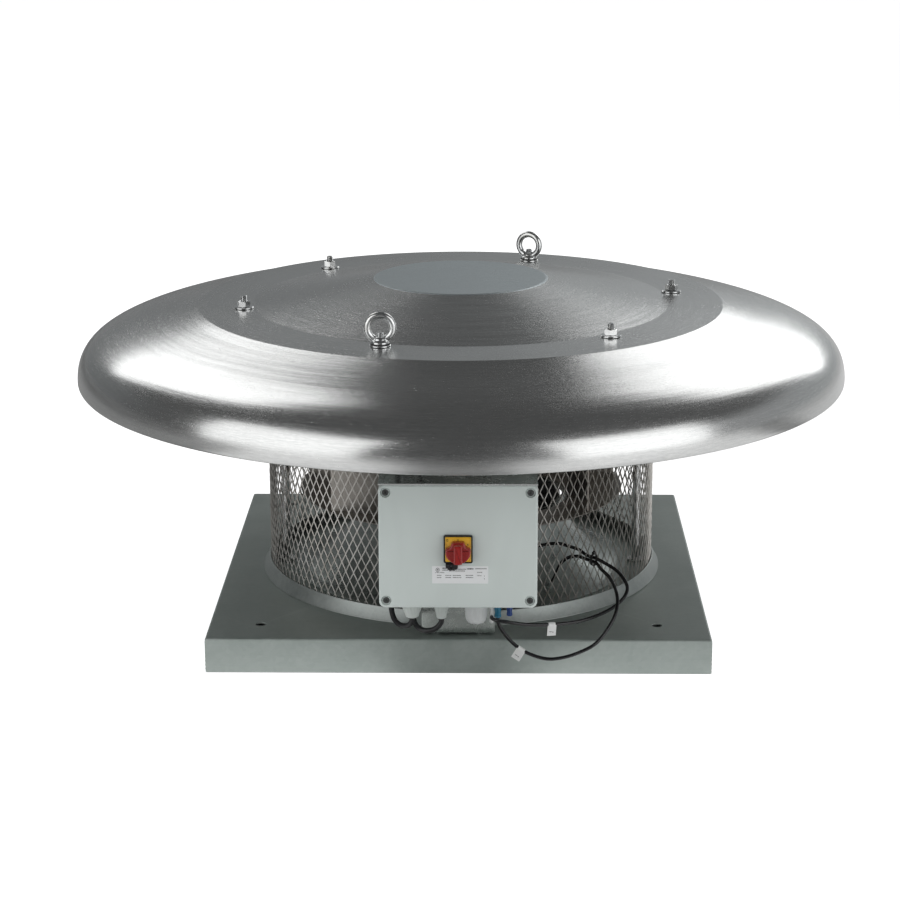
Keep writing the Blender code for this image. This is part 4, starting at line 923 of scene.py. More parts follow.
def add_thread(B, c, z0, z1, r, pitch, segs=28, depth=0.55):
    """Threaded stud end: a helical ridge on a round bar, chamfered at the tip."""
    steps = int((z1 - z0) / pitch * 6)
    rows, verts = [], []
    verts.append((c[0], c[1], z0))
    for s in range(steps + 1):
        z = z0 + (z1 - z0) * s / steps
        row = []
        for i in range(segs):
            a = 2 * math.pi * i / segs
            ph = (z / pitch - a / (2 * math.pi)) % 1.0
            rr = r - depth * (1 - abs(2 * ph - 1) ** 1.0)
            rr = min(rr, r - max(0.0, (z - (z1 - 1.1))) * 0.9)
            row.append(len(verts))
            verts.append((c[0] + rr * math.cos(a), c[1] + rr * math.sin(a), z))
        rows.append(row)
    top = len(verts)
    verts.append((c[0], c[1], z1))
    faces = []
    for i in range(segs):
        j = (i + 1) % segs
        faces.append((0, rows[0][j], rows[0][i]))
        faces.append((top, rows[-1][i], rows[-1][j]))
    for a, b in zip(rows, rows[1:]):
        for i in range(segs):
            j = (i + 1) % segs
            faces.append((a[i], a[j], b[j], b[i]))
    B.add(verts, faces)


def stud_points():
    return [polar(STUD_CIRCLE_R, STUD_FIRST + 60 * i) for i in range(6)]


def make_fixings():
    zw = 459.0 + GAP
    zn = zw + 2.5 + GAP
    nuts = eyes = 0
    for i, p in enumerate(stud_points()):
        c = (p.x, p.y)
        B = Build()
        B.revolve([(5.35, zw), (14.2, zw), (14.7, zw + 0.4), (14.7, zw + 2.0), (14.3, zw + 2.5), (5.7, zw + 2.5),
                   (5.35, zw + 2.1)], 64, c)
        B.done("stud_washer_%d_plated" % (i + 1), "steel", replaces="stud_washer_%d" % (i + 1))
        if i in (1, 4):
            eyes += 1
            make_eye(eyes, c, zn, math.radians({1: -26.0, 4: 2.0}[i]))
        else:
            nuts += 1
            B = Build()
            add_nut(B, c, zn, 8.0, 8.5, 5.35, math.radians(17 * i))
            B.done("hood_nut_%d_hex" % nuts, "steel", replaces="hood_nut_%d" % nuts, smooth=22)


def make_eye(n, c, zn, turn):
    """Forged lifting eye nut: collar, neck and ring blended into one body."""
    zc = zn + 22.5
    B = Build()
    B.revolve([(0, zn), (11.8, zn), (12.5, zn + 0.7), (12.5, zn + 3.2), (11.6, zn + 4.2), (10.0, zn + 5.6),
               (8.6, zn + 8.4), (6.4, zn + 10.4), (0, zn + 10.8)], 48, c)
    R, r = 17.5, 5.0
    verts, faces = [], []
    nu, nv = 72, 24
    for u in range(nu):
        t = 2 * math.pi * u / nu
        low = max(0.0, -math.sin(t)) ** 6
        for v in range(nv):
            q = 2 * math.pi * v / nv
            rr = r + 0.35 * low
            x = (R + rr * math.cos(q)) * math.cos(t)
            z = (R + rr * math.cos(q)) * math.sin(t)
            y = rr * math.sin(q)
            verts.append((c[0] + x * math.cos(turn) - y * math.sin(turn), c[1] + x * math.sin(turn) + y * math.cos(turn), zc + z))
    for u in range(nu):
        for v in range(nv):
            u2, v2 = (u + 1) % nu, (v + 1) % nv
            faces.append((u * nv + v, u2 * nv + v, u2 * nv + v2, u * nv + v2))
    B.add(verts, faces)
    ob = raw("eye_work", B)
    rm = ob.modifiers.new("r", 'REMESH')
    rm.mode = 'VOXEL'
    rm.voxel_size = 0.55 * MM
    sm = ob.modifiers.new("s", 'SMOOTH')
    sm.factor = 0.5
    sm.iterations = 5
    me = apply_modifiers(ob)
    bpy.data.objects.remove(ob, do_unlink=True)
    me.materials.clear()
    settle("eye_nut_%d_forged" % n, me, "steel", replaces="eye_nut_%d" % n, smooth=None)
    # black sealing ring under the collar
    S = Build()
    S.revolve([(5.6, zn - 0.25), (13.3, zn - 0.25), (13.6, zn + 0.1), (13.3, zn + 0.75), (12.6, zn + 0.9), (12.55, zn + 0.5),
               (5.6, zn + 0.05)], 48, c)
    S.done("eye_seal_%d" % n, "gasket")


make_fixings()


# =================================================================== base plate
def make_base():
    s, h = 355.0, 50.0
    R = 3.0
    # the folded blank: one profile swept round a square with tight corners
    n_c = 5
    out = rounded(0, 0, 2 * s, 2 * s, 2.2, n_c)
    B = Build()
    layers = [(0.0, 0.0), (0.0, 0.6)]
    layers = [(0.25, 0.0), (0.0, 0.3), (0.0, h - R)]
    for k in range(1, 7):
        a = math.pi / 2 * k / 6
        layers.append((R * (1 - math.cos(a)), h - R + R * math.sin(a)))
    verts, rows = [], []
    for inset, z in layers:
        row = []
        k = (s - inset) / s
        for x, y in out:
            row.append(len(verts))
            verts.append((x * k, y * k, z))
        rows.append(row)
    for inset in (R + 0.8, R + 9.0):
        row = []
        k = (s - inset) / s
        for x, y in out:
            row.append(len(verts))
            verts.append((x * k, y * k, h))
        rows.append(row)
    n = len(out)
    t = 2.0
    inner = []
    for inset, z in ((t, 0.0), (t, h - R), (t + 1.0, h - t)):
        row = []
        k = (s - inset) / s
        for x, y in out:
            row.append(len(verts))
            verts.append((x * k, y * k, z))
        inner.append(row)
    faces = []
    for a, b in zip(rows, rows[1:]):
        for i in range(n):
            j = (i + 1) % n
            faces.append((a[i], a[j], b[j], b[i]))
    for a, b in zip(inner, inner[1:]):
        for i in range(n):
            j = (i + 1) % n
            faces.append((a[j], a[i], b[i], b[j]))
    for i in range(n):
        j = (i + 1) % n
        faces.append((rows[0][j], rows[0][i], inner[0][i], inner[0][j]))
    faces.append(tuple(rows[-1]))
    faces.append(tuple(reversed(inner[-1])))
    B.add(verts, faces)
    C = Build()
    C.revolve([(0, h - 8), (237.0, h - 8), (237.0, h + 8), (0, h + 8)], 128)
    cutters = [C]
    for sx in (-1, 1):
        for sy in (-1, 1):
            C = Build()
            C.revolve([(0, h - 8), (7.0, h - 8), (7.0, h - 0.5), (7.5, h + 0.01), (7.5, h + 8), (0, h + 8)], 40,
                      (sx * 281.5, sy * 294.0))
            cutters.append(C)
    me = carve(B, cutters)
    settle("base_sheet", me, "sheet", replaces="base_plate", smooth=24)
    # welded corner seams, standing a little proud of the folded edges
    W = Build()
    for sx in (-1, 1):
        for sy in (-1, 1):
            pts = []
            for k in range(24):
                z = 1.5 + (h - 5.5) * k / 23
                o = s - 0.55 + 0.12 * math.sin(k * 2.1 + sx + sy)
                pts.append((sx * o, sy * o, z))
            rad = [0.62 + 0.12 * math.sin(k * 1.9 + 2 * sx) for k in range(24)]
            V, F = [], []
            for k, p in enumerate(pts):
                for q in range(8):
                    a = 2 * math.pi * q / 8
                    V.append((p[0] + rad[k] * math.cos(a), p[1] + rad[k] * math.sin(a), p[2]))
            for k in range(23):
                for q in range(8):
                    r2 = (q + 1) % 8
                    F.append((k * 8 + q, k * 8 + r2, (k + 1) * 8 + r2, (k + 1) * 8 + q))
            F.append(tuple(reversed(range(8))))
            F.append(tuple(range(23 * 8, 24 * 8)))
            W.add(V, F)
    W.done("corner_weld_beads", "sheet")


make_base()


# =================================================================== inlet bell
def make_bell():
    z0 = BASE_HEIGHT + GAP + 2.0
    face = [(252.0, z0), (244.0, z0)] + bell_curve(40)
    B = Build()
    B.revolve(sheet(face, 2.0, side=-1.0), 144)
    for t in TAPS:
        B.revolve([(0, 0), (4.6, 0), (4.6, 1.6), (3.2, 2.0), (3.2, 6.0), (2.7, 6.4), (3.2, 8.6), (2.6, 10.0), (0, 10.0)], 28,
                  frame_m=axis_frame(t["root"], t["dir"]))
    # rivets round the flange
    for i in range(16):
        p = polar(245.5, 11.25 + 22.5 * i)
        B.revolve([(0, z0 - 0.2), (2.6, z0 - 0.2), (2.5, z0 + 0.5), (1.7, z0 + 1.1), (0, z0 + 1.35)], 16, (p.x, p.y))
    B.done("inlet_bell_drawn", "bell", replaces="inlet_bell", smooth=28)


make_bell()


# ======================================================================= guard
def make_guard():
    z0 = BASE_HEIGHT + GAP
    B = Build()
    prof = [(302.4, z0), (302.9, z0 + 0.5), (302.7, z0 + 1.2), (301.9, z0 + 1.9), (294.1, 68.0), (293.4, 69.0), (292.6, 69.2),
            (291.9, 68.6), (299.0, z0 + 0.7), (298.7, z0)]
    B.revolve(prof, 240)
    B.done("guard_foot_ring", "ring", replaces="guard_bottom_ring", smooth=28)
    B = Build()
    B.revolve([(291.8, 330), (292.6, 329.6), (293.3, 330.2), (293.3, 347.4), (294.2, 348.1), (305.6, 348.1), (306.0, 348.6),
               (305.6, 349.5), (292.4, 349.6), (291.8, 348.9)], 240)
    B.done("guard_head_ring", "ring", replaces="guard_top_ring", smooth=28)

    # expanded metal: each strand swings between its two neighbours
    count, rows_n, dz, zb = 264, 24, 12.65, 48.6
    hp = 360.0 / count
    R0 = GUARD_R - GUARD_WALL / 2
    mm_per_deg = math.radians(1.0) * R0
    half_w, half_t, bond = 0.78, 0.55, 1.2
    off = 0.74
    tilt = math.radians(24.0)
    V, F = [], []
    phase = TUBE_AZIMUTH - hp * 0.5 - hp * 263          # a diamond is centred on the tube pass at row 6
    for k in range(count):
        centre = []
        for m in range(rows_n):
            left = (m + k) % 2 == 0
            # row parity is set so that the tube pass falls inside a diamond, not on a bond
            side = -1.0 if left else 1.0
            u = (k + side * 0.5) * hp * mm_per_deg - side * off
            rad = side * off * math.tan(tilt)
            zc = zb + m * dz
            for b in (-bond, bond):
                centre.append((u, zc + b, rad))
        n = len(centre)
        jit = RNG.normal(0, 0.12, (n, 2))
        base = len(V)
        for i, (u, z, rad) in enumerate(centre):
            z = min(max(z, 52.0), 345.5)
            a0, a1 = centre[max(i - 1, 0)], centre[min(i + 1, n - 1)]
            du, dzz = a1[0] - a0[0], max(a1[1] - a0[1], 1e-3)
            l = math.hypot(du, dzz)
            # across-strand direction in the sheet plane, then tilted out of it
            au, az = dzz / l, -du / l
            for su, st in ((-1, -1), (1, -1), (1, 1), (-1, 1)):
                pu = su * half_w * math.cos(tilt) + st * half_t * math.sin(tilt)
                pr = -su * half_w * math.sin(tilt) + st * half_t * math.cos(tilt)
                uu = u + au * pu + jit[i, 0]
                zz = z + az * pu
                rr = R0 - rad + pr + jit[i, 1] * 0.5
                ang = math.radians(phase) + uu / R0
                V.append((rr * math.cos(ang), rr * math.sin(ang), zz))
        for i in range(n - 1):
            for q in range(4):
                a, b = base + 4 * i + q, base + 4 * i + (q + 1) % 4
                F.append((a, b, b + 4, a + 4))
        F.append((base + 3, base + 2, base + 1, base))
        F.append(tuple(base + 4 * (n - 1) + q for q in range(4)))
    piece("guard_expanded_metal", V, F, "mesh", replaces="guard_mesh", smooth=50)


make_guard()


# ========================================================== motor plate, posts
def make_plate():
    z0, z1 = PLATE_Z, PLATE_Z + PLATE_SHEET
    B = Build()
    B.revolve([(26, z0), (337.6, z0), (338, z0 + 0.4), (338, z1 - 0.4), (337.6, z1), (26, z1)], 144, turn=0.021)
    cutters = []
    for x, y in CABLE_HOLES:
        C = Build()
        C.revolve([(0, z0 - 5), (5.5, z0 - 5), (5.5, z1 + 5), (0, z1 + 5)], 32, (x, y))
        cutters.append(C)
    me = carve(B, cutters)
    settle("motor_plate_sheet", me, "sheet", replaces="motor_plate", smooth=30)
    S = Build()
    for p in stud_points():
        S.revolve([(0, z1 - 0.1), (8.6, z1 - 0.1), (9.0, z1 + 0.4), (9.0, 456.0), (8.6, 456.4), (5.0, 456.4), (5.0, 460.0),
                   (0, 460.0)], 32, (p.x, p.y))
        add_thread(S, (p.x, p.y), 459.5, 478.0, 5.0, 1.5)
    S.done("hood_studs_threaded", "steel", smooth=24)
    G = Build()
    for x, y in CABLE_HOLES:
        G.revolve([(4.1, z0 - 1.6), (6.9, z0 - 1.6), (7.3, z0 - 0.8), (7.2, z0 - 0.05), (5.45, z0 - 0.05), (5.45, z1 + 0.05),
                   (7.2, z1 + 0.05), (7.3, z1 + 0.8), (6.9, z1 + 1.6), (4.1, z1 + 1.6)], 32, (x, y))
    G.done("cable_grommets", "gasket")
    for i, a in enumerate((0.0, 90.0, 180.0, 270.0)):
        p = polar(268.0, a)
        zb = BASE_HEIGHT + GAP
        P = Build()
        P.revolve([(0, zb), (12.6, zb), (13, zb + 0.4), (13, zb + 3.4), (12.4, zb + 4), (6.6, zb + 4), (6.0, zb + 4.8),
                   (6.0, PLATE_Z - GAP - 0.5), (5.5, PLATE_Z - GAP), (0, PLATE_Z - GAP)], 40, (p.x, p.y))
        P.revolve([(0, z1 + GAP), (7.0, z1 + GAP), (7.5, z1 + GAP + 0.5), (7.2, z1 + GAP + 2.2), (5.5, z1 + 3.9), (0, z1 + 4.2)],
                  32, (p.x, p.y))
        P.done("support_post_%d_rod" % (i + 1), "steel", replaces="support_post_%d" % (i + 1))


make_plate()


# ==================================================================== impeller
IMP_R, BLADE_IN, BLADE_OUT = 243.5, 168.0, 240.5
SHROUD = [(159.5, 149.0), (159.9, 157.0), (163.0, 162.6), (170.5, 166.8), (190, 170.4), (215, 172.9), (243.5, 174.5)]


def shroud_top(r):
    for (r0, z0), (r1, z1) in zip(SHROUD, SHROUD[1:]):
        if r0 <= r <= r1:
            return z0 + (z1 - z0) * (r - r0) / (r1 - r0)
    return SHROUD[-1][1]


def make_impeller():
    B = Build()
    B.revolve([(21.0, 305.0), (243.0, 305.0), (243.5, 305.5), (243.5, 307.0), (243.0, 307.5), (21.0, 307.5)], 160)
    B.done("impeller_back_disc", "fan", "impeller", "impeller_backplate")
    B = Build()
    B.revolve(sheet(fillet(SHROUD, [0, 3, 4, 6, 10, 10, 0], 4), 2.0, side=1.0), 160)
    B.done("impeller_shroud_drawn", "fan", "impeller", "impeller_shroud")
    n = 22
    for b in range(7):
        tip = math.radians(218.4 + 360.0 / 7 * b)
        V, F = [], []
        riv = Build()
        for i in range(n + 1):
            r = BLADE_IN + (BLADE_OUT - BLADE_IN) * i / n
            th = tip + 1.05 * math.log(BLADE_OUT / r)
            c = Vector((r * math.cos(th), r * math.sin(th), 0))
            er = Vector((math.cos(th), math.sin(th), 0))
            et = Vector((-math.sin(th), math.cos(th), 0))
            d = (er - et * 1.05).normalized()
            nn = Vector((-d.y, d.x, 0))
            lo = max(shroud_top(r - 1.6), shroud_top(min(r + 1.6, IMP_R))) + 0.45
            hi = 305.0 - 0.3
            for s, z in ((-1, lo), (-1, hi), (1, hi), (1, lo)):
                q = c + nn * s * 1.0
                V.append((q.x, q.y, z))
            if i in (3, 8, 13, 18):
                for z, up in ((307.5, 1), (shroud_top(r) - 2.1, -1)):
                    riv.revolve([(0, z - 0.3 * up), (3.0, z - 0.3 * up), (2.9, z + 0.6 * up), (2.0, z + 1.3 * up),
                                 (0, z + 1.6 * up)], 14, (c.x, c.y))
        for i in range(n):
            for q in range(4):
                a, bb = 4 * i + q, 4 * i + (q + 1) % 4
                F.append((a, bb, bb + 4, a + 4))
        F.append((3, 2, 1, 0))
        F.append(tuple(4 * n + q for q in range(4)))
        riv.add(V, F)
        riv.done("impeller_blade_%d_riveted" % (b + 1), "fan", "impeller", "impeller_blade_%d" % (b + 1))
    B = Build()
    B.revolve([(9.8, 288.4), (10.2, 288), (20.1, 288), (20.5, 288.4), (20.5, 307.8), (47.6, 307.8), (48, 308.2), (48, 312.6),
               (47.2, 313), (25, 314), (23.6, 315), (22.5, 335.4), (22, 336), (10.2, 336), (9.8, 335.6)], 72)
    for i in range(6):
        p = polar(36.0, 60 * i)
        add_nut(B, (p.x, p.y), 313.4, 4.2, 5.0, 2.0, 0.2 * i, 36)
        B.revolve([(0, 313.0), (2.05, 313.0), (2.05, 319.0), (1.6, 319.6), (0, 319.6)], 16, (p.x, p.y))
    B.done("impeller_hub_turned", "steel", "impeller", "impeller_hub", 24)
    B = Build()
    B.revolve([(0, 284), (8.5, 284), (9.5, 285), (9.5, 391.5), (10, 392), (59.4, 392), (60, 392.6), (60, 445.4), (59.4, 446),
               (10, 446), (9.5, 446.5), (9.5, 460.5), (9, 461), (0, 461)], 64)
    B.done("motor_rotor_shaft", "steel", "impeller", "motor_rotor", 24)


make_impeller()


# ======================================================================= motor
def make_motor():
    z0 = PLATE_Z + PLATE_SHEET + GAP
    B = Build()
    # finned shell: a turned body with the cooling fins added as blocks round it
    segs = 240
    rows_z = [(z0 + 12, 1.0), (z0 + 14, 1.0), (z0 + 90, 1.0), (456.0, 1.0)]
    prof = [(62.5, z0 + 9), (62.5, 464.0), (0, 464.0)]
    B.revolve([(0, 478.6), (56, 478.6), (60, 478.2), (84, 471.4), (87, 469.2), (91.4, 459.4), (91.6, 456.0), (91.6, z0 + 10),
               (111.4, z0 + 8.2), (112, z0 + 7.6), (112, z0 + 0.5), (111.5, z0), (14, z0), (14, z0 + 9)] + prof, 120)
    for i in range(40):
        a = 2 * math.pi * i / 40
        if abs(math.degrees(a) - 262.5) < 6 or abs(math.degrees(a) - 253.5) < 6 or abs(math.degrees(a) - 258) < 6:
            continue
        d = Vector((math.cos(a), math.sin(a), 0))
        t = Vector((-math.sin(a), math.cos(a), 0))
        V = []
        for r, hw in ((88.0, 1.1), (93.9, 0.7)):
            for z in (z0 + 12, 456.0):
                for s in (-1, 1):
                    q = d * r + t * (s * hw)
                    V.append((q.x, q.y, z))
        B.add(V, [(0, 1, 3, 2), (4, 6, 7, 5), (0, 4, 5, 1), (2, 3, 7, 6), (0, 2, 6, 4), (1, 5, 7, 3)])
    for i in range(8):
        p = polar(103.0, 22.5 + 45 * i)
        B.revolve([(0, z0 + 7.6), (5.6, z0 + 7.6), (5.6, z0 + 9.2), (4.8, z0 + 10.4), (2.4, z0 + 10.4), (2.4, z0 + 8.8),
                   (0, z0 + 8.8)], 24, (p.x, p.y))
    B.done("motor_shell_finned", "motor", replaces="motor_housing", smooth=28)
    G = Build()
    for k in (0, 1):
        x, y = CABLE_HOLES[k]
        d = Vector((x, y, 0)).normalized()
        G.revolve([(3.9, -0.5), (7.6, -0.5), (7.6, 3.5), (6.4, 4.6), (4.6, 9.5), (3.9, 9.8)], 28,
                  frame_m=axis_frame(Vector((d.x * 92.5, d.y * 92.5, 388)), d))
    G.done("motor_cable_entries", "gasket")


make_motor()


# ===================================================================== bracket
def make_bracket():
    w, f, cx = BOX_W / 2, 51.0, BOX_CX
    B = Build()
    # upright with rounded shoulders
    outline = fillet([(0, 55.6), (f, 55.6), (f, 112), (f + 10, 122), (cx + w, 122), (cx + w, 294.0), (0, 294.0)],
                     [0, 1.0, 4, 4, 4, 1.0, 0], 4)
    full = outline + [(2 * 0 - x, z) for x, z in reversed(outline[1:-1])]
    left = [(-x + 2 * cx * (1 if z > 118 else 0), z) for x, z in reversed(outline[1:-1])]
    B.prism(outline + left, front_frame(0, 0, 0), 338.0, 340.0, 0.3, 0.3, 2)
    # bend and top flange, running forward over the box
    prof = fillet([(-338.0, 290.0), (-338.0, 297.6), (-427.0, 297.6)], [0, 3.6, 0], 6)
    sec = sheet(prof, 2.0, side=1.0, round_ends=False)

    def extrude_x(sec, x0, x1):
        n = len(sec)
        V = [(x0, y, z) for y, z in sec] + [(x1, y, z) for y, z in sec]
        F = [tuple(range(n)), tuple(reversed(range(n, 2 * n)))]
        for i in range(n):
            j = (i + 1) % n
            F.append((i, j, n + j, n + i))
        B.add(V, F)

    sec = sheet(prof, 2.0, side=-1.0, round_ends=False)
    extrude_x(sec, cx - w, cx + w)
    foot = fillet([(-338.0, 60.0), (-338.0, 52.8), (-309.0, 52.8)], [0, 3.6, 0], 6)
    extrude_x(sheet(foot, 2.0, side=-1.0, round_ends=False), -f, f)
    for sx in (-1, 1):
        B.revolve([(0, 50.3), (7.5, 50.3), (7.5, 53.6), (0, 53.6)], 32, (sx * 32, -322))
    B.done("box_bracket_folded", "bracket", replaces="box_bracket", smooth=30)
    S = Build()
    for sx in (-1, 1):
        S.revolve([(0, 54.7), (8.4, 54.7), (8.6, 55.0), (8.6, 56.0), (8.3, 56.3), (0, 56.3)], 36, (sx * 32, -322))
        add_nut(S, (sx * 32, -322), 56.3, 4.6, 5.0, 1.0, 0.3 + sx, 48)
        S.revolve([(0, 58.0), (3.2, 58.0), (3.2, 60.2), (2.8, 60.6), (0, 60.6)], 20, (sx * 32, -322))
    S.done("bracket_foot_screws", "steel", smooth=24)


make_bracket()


# ================================================================= control box
def corner_posts():
    return [(BOX_CX + sx * 97.6, BOX_CZ + sz * 76.5) for sz in (1, -1) for sx in (-1, 1)]


def make_box():
    y_split = BOX_FRONT_Y + BOX_LID_T
    out = rounded(BOX_CX, BOX_CZ, BOX_W, BOX_H, 9.0, 10)
    inn = rounded(BOX_CX, BOX_CZ, BOX_W - 6, BOX_H - 6, 6.5, 8)
    F = front_frame()
    # base tray
    B = Build()
    B.prism(out, F, 340.3, -(y_split + GAP), 2.0, 0.3, 5)
    C = Build()
    C.prism(inn, F, 343.3, 430)
    cutters = [C]
    for x, r, _ in GLANDS:
        G = Build()
        zb = BOX_CZ - BOX_H / 2
        G.revolve([(0, zb - 5), (r + GAP, zb - 5), (r + GAP, zb + 6), (0, zb + 6)], 32, (x, GLAND_Y))
        cutters.append(G)
    me = carve(B, cutters)
    settle("box_tray", me, "box", replaces="box_base", smooth=26)
    # lid
    L = Build()
    L.prism(out, F, -(y_split), 426.0, 0.35, 2.4, 6)
    C = Build()
    C.prism(inn, F, 400.0, 423.0)
    cutters = [C]
    for x, z in corner_posts():
        G = Build()
        G.revolve([(0, 421.5), (6.6, 421.5), (6.6, 425.3), (7.1, 426.01), (7.1, 430), (0, 430)], 40,
                  frame_m=front_frame(x, 0, z))
        cutters.append(G)
        H = Build()
        H.revolve([(0, 405.0), (4.8, 405.0), (4.8, 424), (0, 424)], 32, frame_m=front_frame(x, 0, z))
        cutters.append(H)
    H = Build()
    H.revolve([(0, 405.0), (6.0, 405.0), (6.0, 430), (0, 430)], 32, frame_m=front_frame(SWITCH_X, 0, SWITCH_Z))
    cutters.append(H)
    me = carve(L, cutters)
    settle("box_cover", me, "box", replaces="box_lid", smooth=26)
    # screw sleeves inside each well, with a proud ring as moulded
    S = Build()
    for x, z in corner_posts():
        S.revolve([(4.85, 412.5), (5.75, 412.5), (5.8, 424.6), (5.6, 425.2), (5.3, 425.2), (4.85, 424.7)], 48,
                  frame_m=front_frame(x, 0, z))
    S.done("lid_screw_sleeves", "box")
    G = Build()
    ring_o = rounded(BOX_CX, BOX_CZ, BOX_W - 1.6, BOX_H - 1.6, 8.2, 8)
    ring_i = rounded(BOX_CX, BOX_CZ, BOX_W - 4.4, BOX_H - 4.4, 6.8, 8)
    n = len(ring_o)
    V = [F @ Vector((x, z, h)) for h in (411.6, 412.05) for ring in (ring_o, ring_i) for x, z in ring]
    Fc = []
    for i in range(n):
        j = (i + 1) % n
        Fc += [(i, j, n + j, n + i), (2 * n + i, 3 * n + i, 3 * n + j, 2 * n + j), (i, 2 * n + i, 2 * n + j, j),
               (n + i, n + j, 3 * n + j, 3 * n + i)]
    G.add(V, Fc)
    G.done("lid_gasket", "gasket")
    # lid screws with a cross slot
    for i, (x, z) in enumerate(corner_posts()):
        M = front_frame(x, 0, z)
        H = Build()
        H.revolve([(0, 413.0), (4.3, 413.0), (4.4, 413.3), (4.4, 423.6), (4.1, 424.3), (3.2, 424.75), (0, 424.8)], 40, frame_m=M)
        cut_a, cut_b = Build(), Build()
        t = math.radians(28 + 17 * i)
        for C, tt in ((cut_a, t), (cut_b, t + math.pi / 2)):
            R = M @ Matrix.Rotation(tt, 4, 'Z')
            C.prism([(-2.9, -0.55), (2.9, -0.55), (2.9, 0.55), (-2.9, 0.55)], R, 422.4, 426.0)
        me = carve(H, [cut_a, cut_b])
        settle("lid_screw_%d_cross" % (i + 1), me, "screw", replaces="lid_screw_%d" % (i + 1))


make_box()


# ====================================================================== switch
def stroke(B, pts, w, y_face, depth=0.14, M=None):
    """A flat printed stroke through (x, z) points."""
    for (x0, z0), (x1, z1) in zip(pts, pts[1:]):
        d = Vector((x1 - x0, z1 - z0))
        if d.length < 1e-6:
            continue
        d.normalize()
        nrm = Vector((-d.y, d.x)) * w / 2
        e = d * w * 0.3
        o = [(x0 - e.x + nrm.x, z0 - e.y + nrm.y), (x0 - e.x - nrm.x, z0 - e.y - nrm.y), (x1 + e.x - nrm.x, z1 + e.y - nrm.y),
             (x1 + e.x + nrm.x, z1 + e.y + nrm.y)]
        B.prism(o, front_frame(), -y_face - depth * 0.4, -y_face + depth * 0.6)


